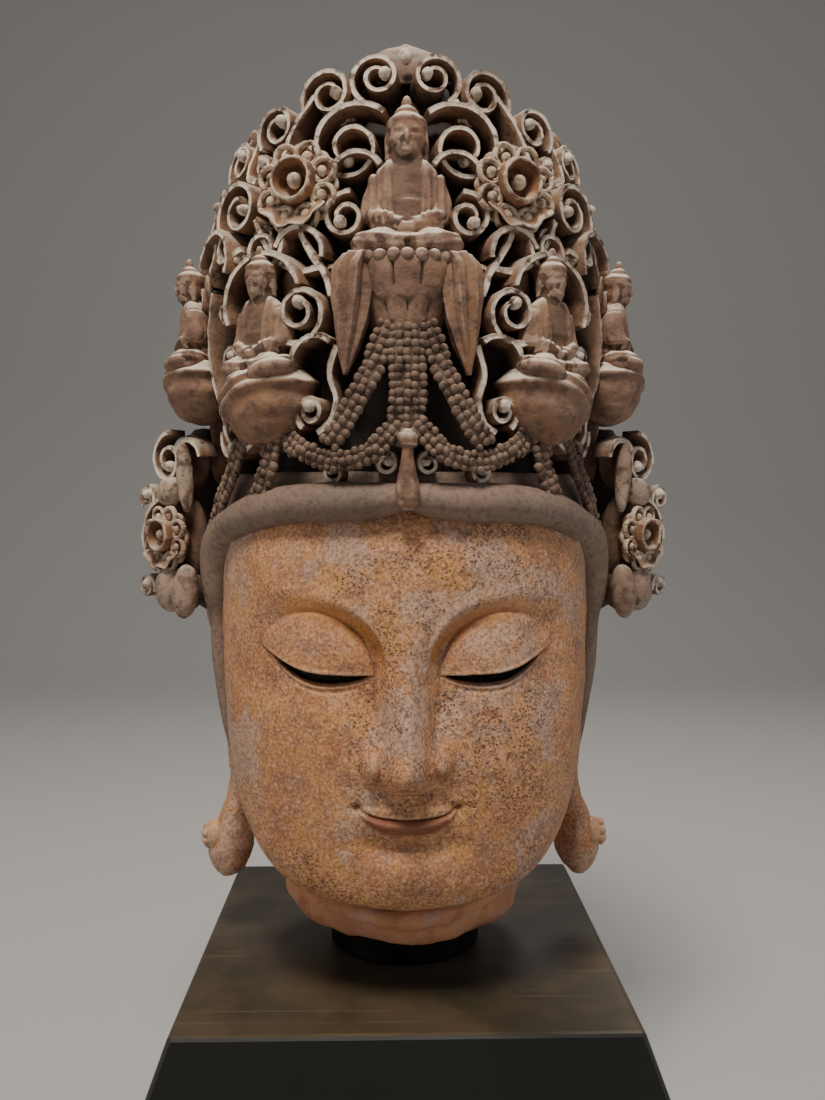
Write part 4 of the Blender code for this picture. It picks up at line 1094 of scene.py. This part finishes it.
# Head, jaw, hair, knot, its tip, nose, mouth, hands, lap and knees, by middle and half sizes.
LUMPS = (
    ((0.0, 0.0, 10.0), (1.68, 1.85, 2.15)),
    ((0.0, -0.55, 8.85), (1.2, 1.3, 1.25)),
    ((0.0, 0.35, 10.95), (1.9, 1.95, 1.45)),
    ((0.0, 0.3, 12.2), (1.15, 1.15, 0.7)),
    ((0.0, 0.3, 13.0), (0.5, 0.5, 0.9)),
    ((0.0, -1.85, 9.6), (0.26, 0.34, 0.62)),
    ((0.0, -1.72, 8.55), (0.5, 0.22, 0.22)),
    ((0.0, -2.6, 1.55), (1.1, 0.7, 0.5)),
    ((0.0, -1.8, 0.4), (2.4, 1.7, 0.9)),
    ((0.0, -0.8, -0.4), (3.6, 2.2, 0.7)),
    ((-2.45, -2.1, 0.25), (2.4, 1.8, 1.2)),
    ((2.45, -2.1, 0.25), (2.4, 1.8, 1.2)),
)
EARS = ((1.75, 0.2, 9.5), (0.3, 0.55, 1.4))
LIMB_STEPS = 24


def one_skin(form, step):
    """Fuses the overlapping parts of a form into one closed skin with facets a step across."""
    mesh = as_mesh(form, "loose_forms")
    shell = bpy.data.objects.new("loose_forms", mesh)
    bpy.context.scene.collection.objects.link(shell)
    skin = shell.modifiers.new("skin", "REMESH")
    skin.mode = "VOXEL"
    skin.voxel_size = step
    graph = bpy.context.evaluated_depsgraph_get()
    fused = bpy.data.meshes.new_from_object(shell.evaluated_get(graph))
    bpy.data.objects.remove(shell)
    bpy.data.meshes.remove(mesh)
    return fused


def turned_shape(table):
    """A shape for grid_form from rows of height, half width, half depth and how far forward."""

    def shape(u, v):
        z = height_in(table, v)
        turn = 2.0 * np.pi * u
        wide, deep, forward = (between(table, z, column) for column in (1, 2, 3))
        return np.stack([wide * np.sin(turn), -forward - deep * np.cos(turn), z], axis=1)

    return shape


def limb(rows):
    """An arm or a leg along its rows, each a place and a radius."""
    path = smooth_path(rows, LIMB_STEPS)
    away = np.tile([0.3, -0.5, 0.8], (LIMB_STEPS, 1))
    return swept(path[:, :3], away, path[:, 3], path[:, 3], ring_section(14))


def robe_edge(z):
    """How far from the middle the open robe's edge lies at a height."""
    return 1.25 + 0.05 * (z - 3.0)


def drape(points):
    """How far the robe stands off the body: its thickness, its soft folds and the lap's."""
    x, y, z = points.T
    side = np.abs(x)
    opening = robe_edge(z)
    on_body = rise(2.2, 2.8, z) * rise(8.6, 8.0, z)
    robe = on_body * np.maximum(rise(opening - 0.12, opening + 0.12, side), y > 0.8)
    folds = 0.3 + 0.07 * np.sin(2.0 * np.pi * (side / 0.62 + 0.05 * z)) * rise(7.4, 6.0, z)
    belt = 0.12 * np.exp(-(((z - 3.9) / 0.3) ** 2)) * (y < -1.0) * rise(opening, opening - 0.2, side)
    lap = rise(2.2, 1.4, z) * (y < 1.0)
    far = np.sqrt((0.6 * side) ** 2 + (1.5 * (z - 3.6)) ** 2)
    lap_folds = lap * (0.03 + 0.05 * np.sin(2.0 * np.pi * far / 1.1))
    on_face = y < -0.9
    sockets = -0.16 * np.exp(-(((side - 0.72) / 0.42) ** 2) - ((z - 10.05) / 0.2) ** 2) * on_face
    brows = 0.07 * np.exp(-(((side - 0.8) / 0.6) ** 2) - ((z - 10.5) / 0.16) ** 2) * on_face
    mouth = -0.1 * np.exp(-((x / 0.55) ** 2) - ((z - 8.6) / 0.1) ** 2) * on_face
    hairline = 0.1 * rise(0.0, 0.25, z - 10.95 - 0.12 * side) * rise(12.0, 11.4, z)
    return robe * folds + belt + lap_folds + sockets + brows + mouth + hairline


def bare_chest(points):
    """Which points lie on the chest, between the edges of the robe."""
    x, y, z = points.T
    opening = robe_edge(z)
    inside = rise(opening + 0.1, opening - 0.1, np.abs(x)) * (y < 0.0)
    return inside * rise(2.4, 3.0, z) * rise(8.6, 7.8, z)


def carve_figure(step):
    """One seated figure at its own size, facing -Y, with facets a step across."""
    form = bmesh.new()
    take_in(form, grid_form(48, 40, turned_shape(TORSO)))
    for rows in (ARM, FOREARM, LEG):
        take_in(form, limb(rows), mirrored=True)
    for place, size in LUMPS:
        take_in(form, pebble(place, size, sides=24, rows=16))
    take_in(form, pebble(*EARS, sides=12, rows=10), mirrored=True)
    mesh = one_skin(form, step)
    points, normals = read_points(mesh), read_points(mesh, "normal")
    mark(mesh, "bare", bare_chest(points))
    points = points + normals * drape(points)[:, None]
    mesh.vertices.foreach_set("co", points.ravel())
    return mesh


def set_down(piece, mesh, angle, origin, size, lean=0.0, mirrored=True):
    """Adds a mesh that faces the front, turned to face out at an angle, and its mirror image."""
    leant = Matrix(((1, 0, 0), (0, 1, -lean), (0, 0, 1))).to_4x4()
    turned = Matrix.Rotation(np.radians(angle), 4, "Z")
    setting = Matrix.Translation(Vector(origin)) @ turned @ leant @ Matrix.Scale(size, 4)
    set_in(piece, mesh, setting, mirrored)


FIGURE_SKIN = 0.16  # how far apart the figures' facets are
CENTRAL_SKIN = 0.125
# Angle from the front, place, size, size of the seat under it.
SIDE_FIGURES = ((38.0, (13.6, -14.8, 58.0), 0.86, 1.0), (78.0, (22.2, -5.0, 60.0), 0.81, 0.86))
FIGURE_LEAN = 0.12
CENTRAL_SEAT = (0.0, -17.2, 69.0)
CENTRAL_SIZE = 1.08
CENTRAL_SLENDER = 0.97  # the central figure's width for its height

figure_colours = ("#816251", "#977862", "#38271E", "#EADDCB", "#9C7046")
figure_paint = carved_stone("gilded_figure_sandstone", figure_colours, 0.5, 1.0, 0.15)
figure_mesh = carve_figure(FIGURE_SKIN)
central_form = bmesh.new()
set_down(central_form, carve_figure(CENTRAL_SKIN), 0.0, CENTRAL_SEAT, CENTRAL_SIZE, mirrored=False)
for vert in central_form.verts:
    vert.co.x *= CENTRAL_SLENDER
weather(central_form, 1.2, 0.07)
finish_piece("central_seated_figure", central_form, figure_paint, crown_depth, wear_and_shade_rounds=7)
side_form = bmesh.new()
for angle, origin, size, _ in SIDE_FIGURES:
    set_down(side_form, figure_mesh, angle, origin, size, FIGURE_LEAN)
weather(side_form, 1.2, 0.07, 9.0)
finish_piece("side_seated_figures", side_form, figure_paint, crown_depth, wear_and_shade_rounds=7)

# The central seat: a lotus with a beaded rim and three rows of petals. The robe's ends hang
# over it at each side in long folds that come to a point.
# Height, half width, half depth, how far forward, and how far aside for the cloth.
LOTUS = (
    (57.2, 1.6, 2.0, 17.8),
    (60.0, 2.6, 2.4, 17.8),
    (62.6, 3.6, 3.0, 17.8),
    (65.6, 4.7, 3.5, 17.8),
    (67.0, 5.0, 3.6, 17.8),
    (68.1, 4.7, 3.3, 17.8),
)
CLOTH = (
    (57.0, 0.25, 0.3, 19.6, 5.8),
    (58.8, 0.8, 0.8, 19.6, 5.6),
    (61.2, 1.3, 1.2, 19.6, 5.3),
    (64.2, 1.75, 1.6, 19.6, 5.1),
    (67.0, 1.75, 1.6, 19.6, 5.0),
    (68.3, 1.4, 1.2, 19.6, 4.4),
)
LOTUS_MIDDLE = LOTUS[0][3]
LOTUS_PETALS = 12
CLOTH_MIDDLE = CLOTH[0][3]
CLOTH_PLEATS = 7
SEAT_BEADS = 11
BEADS_FROM, BEADS_APART = -75.0, 15.0  # degrees round the rim's front
SEAT_BEAD_SIZE = (0.66, 0.6, 0.62)
SEAT_RIM = (5.0, 3.6, 17.9, 67.8)  # half width, half depth, how far forward, height


def petals(turn, z, foot, top, shift):
    """How far a row of hanging petals stands out, each round at its foot."""
    across = (turn * LOTUS_PETALS / (2.0 * np.pi) + shift) % 1.0 * 2.0 - 1.0
    low = foot + 1.3 * (1.0 - np.sqrt(np.clip(1.0 - across**2, 0.0, 1.0)))
    return rise(low - 0.1, low + 0.35, z) * rise(top + 0.4, top - 0.2, z) * (1.0 - across**4) ** 0.5


def lotus_shape(u, v):
    point = turned_shape(LOTUS)(u, v)
    z = point[:, 2]
    turn = 2.0 * np.pi * u
    puff = 0.55 * petals(turn, z, 63.6, 67.8, 0.5)
    puff = np.maximum(puff, 0.38 * petals(turn, z, 60.6, 65.0, 0.0))
    puff = np.maximum(puff, 0.22 * petals(turn, z, 58.2, 62.6, 0.5))
    grow = 1.0 + puff / 4.5
    y = (point[:, 1] + LOTUS_MIDDLE) * grow - LOTUS_MIDDLE
    return np.stack([point[:, 0] * grow, y, z], axis=1)


def cloth_shape(u, v):
    point = turned_shape(CLOTH)(u, v)
    z = point[:, 2]
    turn = 2.0 * np.pi * u
    pleat = np.abs((turn * CLOTH_PLEATS / (2.0 * np.pi) + 0.2 + 0.03 * z) % 1.0 * 2.0 - 1.0)
    folds = 1.0 + 0.4 * (pleat - 0.5) * rise(57.0, 60.0, z)
    x = point[:, 0] * folds + between(CLOTH, z, 4)
    return np.stack([x, (point[:, 1] + CLOTH_MIDDLE) * folds - CLOTH_MIDDLE, z], axis=1)


seat_form = bmesh.new()
take_in(seat_form, grid_form(168, 84, lotus_shape))
take_in(seat_form, grid_form(112, 64, cloth_shape), mirrored=True)
rim_wide, rim_deep, rim_forward, rim_height = SEAT_RIM
for i in range(SEAT_BEADS):
    turn = np.radians(BEADS_FROM + BEADS_APART * i)
    middle = (rim_wide * np.sin(turn), -rim_forward - rim_deep * np.cos(turn), rim_height)
    take_in(seat_form, pebble(middle, SEAT_BEAD_SIZE, sides=14, rows=9))
weather(seat_form, 1.8, 0.1)
finish_piece("lotus_and_hanging_cloth", seat_form, figure_paint, crown_depth)

# The round seats of the side figures: each is a bundle of cloth with a curl at its side, and a
# leaf behind each shoulder.
ROUND_SEAT = (
    (-7.6, 0.8, 0.7, -0.2),
    (-7.1, 2.4, 2.2, -0.2),
    (-6.0, 3.8, 3.4, -0.2),
    (-4.2, 4.7, 4.2, -0.2),
    (-2.2, 4.9, 4.4, -0.2),
    (-0.8, 4.5, 4.0, -0.2),
    (0.0, 3.4, 3.0, -0.2),
)
# Each by its middle and half sizes, from the point where the figure sits.
SEAT_CURL = ((-2.3, -2.2, -0.5), (2.5, 2.2, 1.1))
SEAT_CURL_TILT = 0.3
SHOULDER_LEAVES = (((-2.6, 2.3, 9.4), (1.5, 0.5, 2.1)), ((2.9, 2.9, 6.4), (1.1, 0.6, 3.6)))


def round_seat_shape(u, v):
    """The bundle of cloth under a figure, with two deep folds that sweep up to one side."""
    point = turned_shape(ROUND_SEAT)(u, v)
    x, y, z = point.T
    sweep_line = z + 0.42 * x + 0.05 * x * x
    crease = 0.55 * np.exp(-(((sweep_line + 0.9) / 0.42) ** 2))
    crease += 0.45 * np.exp(-(((sweep_line + 2.3) / 0.45) ** 2))
    crease += 0.08 * np.sin(2.4 * sweep_line) * rise(-6.5, -4.5, z)
    grow = 1.0 + crease * rise(-7.4, -6.0, z) / 4.7
    return np.stack([x * grow, y * grow, z], axis=1)


round_form = bmesh.new()
take_in(round_form, grid_form(96, 60, round_seat_shape))
take_in(round_form, pebble(*SEAT_CURL, Matrix.Rotation(SEAT_CURL_TILT, 3, "Y"), 30, 18))
seat_mesh = as_mesh(round_form, "round_seat")
leaf_form = bmesh.new()
for place, size in SHOULDER_LEAVES:
    take_in(leaf_form, pebble(place, size, sides=24, rows=14))
leaf_mesh = as_mesh(leaf_form, "leaf_nimbus")
seats_form = bmesh.new()
for angle, origin, size, seat_size in SIDE_FIGURES:
    set_down(seats_form, seat_mesh, angle, origin, seat_size)
    set_down(seats_form, leaf_mesh, angle, origin, size, FIGURE_LEAN)
weather(seats_form, 1.8, 0.16)
weather(seats_form, 0.7, 0.04, 3.0)
finish_piece("round_cloth_seats", seats_form, figure_paint, crown_depth)

# The open flowers, one each side of the central figure: eight curled petals, each with a knob in
# its curl, round a drilled cup with a boss. They kept most of their gilding.
FLOWER_AT = (28.5, 75.4)  # angle from the front, height
FLOWER_PETALS = 8
PETAL_REACH = 3.0
FLOWER_STEPS = 30
CURL_STEPS = 22
# How far out and how far from the middle, along the back, the petals that hang below, the cup.
FLOWER_BACK = ((-3.6, 0.9), (-1.6, 2.6), (-0.2, 3.9), (0.3, 4.0), (0.5, 2.4), (0.3, 0.3))
FLOWER_FAN = ((-1.4, 1.2), (0.5, 2.6), (1.5, 3.8), (1.7, 4.1), (1.2, 3.8), (-0.1, 2.6), (-1.8, 1.2))
FLOWER_CUP = ((0.2, 2.1), (1.4, 2.3), (2.1, 2.15), (2.2, 1.9), (1.7, 1.7), (0.6, 1.3), (0.4, 0.5))
CUP_HEIGHT = 0.45


def flower_ring(profile, lobes, height=0.0):
    """A ring that faces -Y, made from its profile. Lobes turns a turn and a reach into where it
    lies round the ring, how far it swells and how thick it is there.
    """
    rows = smooth_path([(out, reach, 0.0) for out, reach in profile], FLOWER_STEPS + 1)

    def shape(u, v):
        out, reach, _ = rows[np.rint(v * FLOWER_STEPS).astype(int)].T
        turn, swell, thick = lobes(2.0 * np.pi * u, reach)
        reach = reach * swell
        return np.stack([reach * np.sin(turn), -out - thick, reach * np.cos(turn) + height], axis=1)

    return shape


def back_lobes(turn, reach):
    return turn, 1.0 + 0.07 * rise(1.5, 3.5, reach) * np.cos(FLOWER_PETALS * turn), 0.0


def fan_lobes(turn, reach):
    half_turn = turn / 2.0 - np.pi / 2.0
    below = np.pi + 1.05 * np.sin(half_turn)
    return below, 1.0 + 0.05 * np.cos(below * 9.0) * rise(2.0, 3.8, reach), 0.12 * np.cos(half_turn)


def no_lobes(turn, reach):
    return turn, 1.0, 0.0


def flower_mesh():
    """A flower that faces -Y, its middle at the origin, 4.3 from middle to petal tip."""
    form = bmesh.new()
    take_in(form, grid_form(96, FLOWER_STEPS, flower_ring(FLOWER_BACK, back_lobes)))
    out = Vector((0.0, -1.0, 0.0))
    for i in range(FLOWER_PETALS):
        turn = 2.0 * np.pi * (i + 0.5) / FLOWER_PETALS
        across = Vector((np.cos(turn), 0.0, -np.sin(turn)))
        up = Vector((np.sin(turn), 0.0, np.cos(turn)))
        setting = (up * PETAL_REACH + out * 0.4, across, up, out)
        for side in (-1, 1):
            angles = np.radians(np.linspace(90.0, 90.0 - side * 235.0, CURL_STEPS))
            reach = np.linspace(1.35, 0.75, CURL_STEPS)
            path = set_out(setting, angles, reach) + 0.25 * np.array(out)
            take_in(form, swept(path, np.tile(out, (CURL_STEPS, 1)), 0.24, 0.42, ring_section(8)))
        take_in(form, pebble(setting[0] + out * 0.35, (0.52, 0.5, 0.52), sides=14, rows=10))
    take_in(form, grid_form(96, FLOWER_STEPS, flower_ring(FLOWER_FAN, fan_lobes)))
    take_in(form, grid_form(64, FLOWER_STEPS, flower_ring(FLOWER_CUP, no_lobes, CUP_HEIGHT)))
    take_in(form, pebble((0.0, -1.1, CUP_HEIGHT), (0.75, 0.8, 0.75), sides=20, rows=12))
    return as_mesh(form, "flower")


def turned_out(setting):
    """Turns what stands upright and faces -Y to look outward at a setting."""
    _, across, up, out = setting
    return Matrix((across, -out, up)).transposed()


def face_out(piece, mesh, setting, size):
    """Adds a mesh that faces -Y, turned to look outward at a setting, and its mirror image."""
    place = Matrix.Translation(setting[0]) @ turned_out(setting).to_4x4() @ Matrix.Scale(size, 4)
    set_in(piece, mesh, place, True)


flower_colours = ("#7B5540", "#8A6449", "#3A1E17", "#E6D6BE", "#966638")
flower_paint = carved_stone("gilded_flower_sandstone", flower_colours, 0.6, 0.4, 0.6)
flower = flower_mesh()
flower_form = bmesh.new()
face_out(flower_form, flower, crown_frame(*FLOWER_AT), 1.0)
weather(flower_form, 0.8, 0.08)
finish_piece("open_flowers", flower_form, flower_paint, crown_depth)

# The strings of beads, carved in rows on a core: swags three beads wide, and a column of five
# under the seat, where they meet. Each strand: its points, beads across, bead radius.
STRANDS = (
    (((1.8, -20.3, 61.5), (3.6, -20.9, 57.0), (5.6, -20.8, 53.2), (7.4, -20.2, 50.6)), 3, 0.42),
    (
        (
            (1.0, -21.0, 52.2),
            (3.6, -21.2, 49.6),
            (7.0, -20.3, 48.8),
            (10.4, -18.4, 50.2),
            (12.4, -16.6, 52.4),
        ),
        3,
        0.38,
    ),
    (((12.6, -16.6, 53.0), (13.4, -16.5, 50.0), (14.2, -16.1, 46.8), (15.4, -14.6, 44.2)), 3, 0.44),
    (((16.4, -14.0, 51.4), (18.2, -12.2, 47.4), (20.0, -9.4, 43.6), (21.4, -6.8, 40.2)), 3, 0.40),
)
BEAD_PITCH = 1.85  # from row to row, in bead radii
BEAD_GAP = 1.8  # from bead to bead across a row
BEAD_COLUMN = (((0.0, -20.4, 62.8), (0.0, -21.0, 59.0), (0.0, -20.9, 55.0), (0.0, -20.7, 50.6)), 5, 0.40)


def string_beads(piece, bead, strand, mirrored):
    """Rows of beads across a strand, all the way along it, on a core that carries them."""
    points, across_count, radius = strand
    length = np.linalg.norm(np.diff(np.array(points), axis=0), axis=1).sum()
    path = smooth_path(points, int(length / (BEAD_PITCH * radius)) + 1)
    outward = round_out(path)
    _, side = ways_of(path, outward)
    for i in range(len(path)):
        for j in range(across_count):
            off = j - (across_count - 1) / 2
            drop = 0.35 * radius * off * off / max(across_count - 2, 1)
            middle = path[i] + side[i] * (off * BEAD_GAP * radius) - outward[i] * drop
            # A little unevenness in place and size, as in carving by eye.
            middle = middle + 0.09 * np.sin([7.1 * i + 3.3 * j, 5.3 * i + j, 3.7 * i + 9.0 * j])
            size = radius * (1.03 + 0.10 * np.sin(4.7 * i + 2.1 * j))
            set_in(piece, bead, Matrix.Translation(middle) @ Matrix.Scale(size, 4), mirrored)
    wide = radius * across_count * 0.8
    core = swept(path - outward * radius * 0.9, outward, wide, 1.1 * radius, ring_section(10))
    take_in(piece, core, mirrored)


bead_colours = ("#513B31", "#644D3E", "#1B1310", "#A58F7C", "#6E4A30")
bead_paint = carved_stone("brown_painted_beads", bead_colours, 0.3, 0.4, 0.3)
bead = as_mesh(pebble((0.0, 0.0, 0.0), (1.0, 1.0, 1.0), sides=9, rows=7), "bead")
bead_form = bmesh.new()
for strand in STRANDS:
    string_beads(bead_form, bead, strand, True)
string_beads(bead_form, bead, BEAD_COLUMN, False)
weather(bead_form, 1.1, 0.08)
weather(bead_form, 0.35, 0.05, 6.0)
finish_piece("strings_of_beads", bead_form, bead_paint, crown_depth)

# The drop that hangs over the parting, from the foot of the bead column: one slim worn form in
# front of the hair. Height, half width, half depth, how far forward.
PENDANT = (
    (44.3, 0.5, 0.5, 21.2),
    (45.0, 1.0, 0.9, 21.2),
    (46.2, 1.15, 1.0, 21.2),
    (48.0, 0.8, 0.75, 21.2),
    (50.0, 0.55, 0.55, 21.2),
    (50.4, 0.85, 0.85, 21.2),
    (51.3, 0.9, 0.9, 21.2),
    (51.8, 0.3, 0.3, 21.2),
)
pendant_form = grid_form(40, 70, turned_shape(PENDANT))
weather(pendant_form, 1.0, 0.06)
finish_piece("hanging_drop", pendant_form, scroll_paint, crown_depth)

# The side ornaments stand out over the ears, half facing sideways: scrolls above and below an
# open flower, with long petals round it, all cut in front of a plain post of stone.
SIDE_TURN = 42.0
SIDE_ORIGIN = Vector((26.2, -3.6, 0.0))
# How far out and up, then as the crown's scrolls and arches.
SIDE_SCROLLS = (
    (-0.2, 49.8, 3.0, 1, 97, 1.6),
    (3.9, 35.6, 1.5, 1, 200, 1.2),
    (3.9, 45.6, 1.6, 1, 200, 1.2),
)
SIDE_ARCHES = ((0.4, 41.4, 4.2, 75, -100), (-3.6, 49.6, 2.2, 170, 20))
SIDE_SCROLL_DEPTH = 2.0
SIDE_ARCH_DEPTH = 2.2
# The stone left behind them, by middle and half sizes, and how far back it lies.
SIDE_GROUNDS = (
    ((-1.4, 49.6), (3.4, 0.9, 3.0)),
    ((0.2, 41.0), (4.4, 1.2, 5.4)),
    ((-0.4, 35.6), (3.0, 1.0, 2.6)),
)
SIDE_GROUND_BACK = 2.2
SIDE_FLOWER_AT = (-0.2, 41.2)
SIDE_FLOWER_SIZE = 0.82
# Long petals, each by its middle, its half sizes across, out and up, and its tilt.
SIDE_LEAVES = (
    ((-0.6, 46.3), (1.9, 1.3, 1.5), 0.5),
    ((-3.2, 48.0), (0.9, 0.9, 4.0), 0.1),
    ((-0.4, 35.6), (2.0, 1.5, 2.6), 0.0),
    ((-3.0, 35.4), (1.6, 1.4, 3.0), -0.15),
)
LEAF_WEAR = 0.3
# The post: height, half width, half depth, how far forward, how far aside.
SIDE_BACKING = (
    (32.6, 1.0, 1.0, 0.0, 21.4),
    (34.5, 2.2, 2.2, 0.0, 22.6),
    (38.0, 2.8, 2.8, 0.0, 23.4),
    (44.0, 3.0, 3.0, 0.0, 23.8),
    (50.0, 2.8, 2.8, 0.0, 23.2),
    (53.4, 1.6, 1.6, 0.0, 22.4),
)


def side_frame(out_by, z):
    """A place on a side ornament, with across, up and outward."""
    turn = np.radians(SIDE_TURN)
    across = Vector((np.cos(turn), np.sin(turn), 0.0))
    out = Vector((np.sin(turn), -np.cos(turn), 0.0))
    return SIDE_ORIGIN + across * out_by + Vector((0.0, 0.0, z)), across, Vector((0.0, 0.0, 1.0)), out


def side_depth(x, y, _):
    """How far back from a side ornament's front a point lies, from 0 to 1, for the painted shade that darkens
    the carving.
    """
    turn = np.radians(SIDE_TURN)
    ahead = (np.abs(x) - SIDE_ORIGIN.x) * np.sin(turn) - (y - SIDE_ORIGIN.y) * np.cos(turn)
    return np.clip((-0.4 - ahead) / 2.4, 0.0, 1.0)


def backing_shape(u, v):
    point = turned_shape(SIDE_BACKING)(u, v)
    aside = between(SIDE_BACKING, point[:, 2], 4)
    return point + np.stack([aside, np.full(len(u), 0.2), np.zeros(len(u))], axis=1)


ornament_form = bmesh.new()
take_in(ornament_form, grid_form(48, 60, backing_shape), mirrored=True)
for out_by, z, radius, way, end, turns in SIDE_SCROLLS:
    carve_scroll(ornament_form, side_frame(out_by, z), radius, way, end, turns, SIDE_SCROLL_DEPTH)
for out_by, z, radius, start, end in SIDE_ARCHES:
    carve_arch(ornament_form, side_frame(out_by, z), radius, start, end, SIDE_ARCH_DEPTH)
for (out_by, z), size, tilt in SIDE_LEAVES:
    setting = side_frame(out_by, z)
    turned = turned_out(setting) @ Matrix.Rotation(tilt, 3, "Y")
    leaf = pebble(setting[0], size, turned, 28, 18)
    keep_wear_and_shade(leaf, [LEAF_WEAR] * len(leaf.verts))
    take_in(ornament_form, leaf, mirrored=True)
for (out_by, z), size in SIDE_GROUNDS:
    setting = sunk(side_frame(out_by, z), SIDE_GROUND_BACK)
    take_in(ornament_form, pebble(setting[0], size, turned_out(setting), 28, 18), mirrored=True)
weather(ornament_form, 1.3, 0.12)
weather(ornament_form, 0.5, 0.06, 2.0)
finish_piece("side_ornaments", ornament_form, scroll_paint, side_depth, 55.0)
side_flower_form = bmesh.new()
face_out(side_flower_form, flower, side_frame(*SIDE_FLOWER_AT), SIDE_FLOWER_SIZE)
weather(side_flower_form, 0.8, 0.08, 5.0)
finish_piece("side_flowers", side_flower_form, flower_paint, side_depth)

# The collar under the neck is a short round of blackened steel, dull and a little uneven. The
# plinth is a tapered box in a satin near-black finish, its top scratched and painted with a brown sheen.
collar_steel, collar_shader = new_material("blackened_steel", 0.42, 0.6)
place = add_node(collar_steel, "ShaderNodeTexCoord").outputs["Object"]
inputs = {"Vector": place, "Scale": 40.0, "Detail": 5.0}
dull = add_node(collar_steel, "ShaderNodeTexNoise", {}, inputs).outputs["Fac"]
collar_coats = (("#1C1B1A", 1.0, (dull, 0.4, 0.65)),)
lay_coats(collar_steel, collar_shader, "#0E0E0F", collar_coats, ((dull, 1.0),), 0.0003)

plinth_paint, plinth_shader = new_material("satin_plinth_with_painted_sheen", 0.38)
place = add_node(plinth_paint, "ShaderNodeTexCoord").outputs["Object"]
inputs = {"Vector": place, "Scale": 7.0, "Detail": 6.0, "Roughness": 0.6}
mottle = add_node(plinth_paint, "ShaderNodeTexNoise", {}, inputs).outputs["Fac"]
inputs = {"Vector": place, "Scale": (6.0, 160.0, 160.0), "Rotation": (0.0, 0.0, 0.5)}
stretched = add_node(plinth_paint, "ShaderNodeMapping", {}, inputs).outputs["Vector"]
inputs = {"Vector": stretched, "Scale": 1.0, "Detail": 3.0}
scratch = add_node(plinth_paint, "ShaderNodeTexNoise", {}, inputs).outputs["Fac"]
facing = add_node(plinth_paint, "ShaderNodeNewGeometry").outputs["Normal"]
upward = add_node(plinth_paint, "ShaderNodeSeparateXYZ", {}, {0: facing}).outputs["Z"]
# The top is painted browner as the sheen the light gives it, and scratched, and the sides are the plain
# near-black.
plinth_coats = (
    ("#544736", 1.0, (mottle, 0.38, 0.62)),
    ("#6E5F48", 0.4, (scratch, 0.62, 0.70)),
    ("#151612", 1.0, (upward, 0.95, 0.6)),
)
lay_coats(plinth_paint, plinth_shader, "#3A352A", plinth_coats, ((scratch, 1.0),), 0.0002)
inputs = {"Value": mottle, "To Min": 0.30, "To Max": 0.48}
satin = add_node(plinth_paint, "ShaderNodeMapRange", {}, inputs).outputs["Result"]
plinth_paint.node_tree.links.new(satin, plinth_shader.inputs["Roughness"])
for node, finish in (("mount_collar", collar_steel), ("plinth", plinth_paint)):
    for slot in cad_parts[node].material_slots:
        slot.material = finish
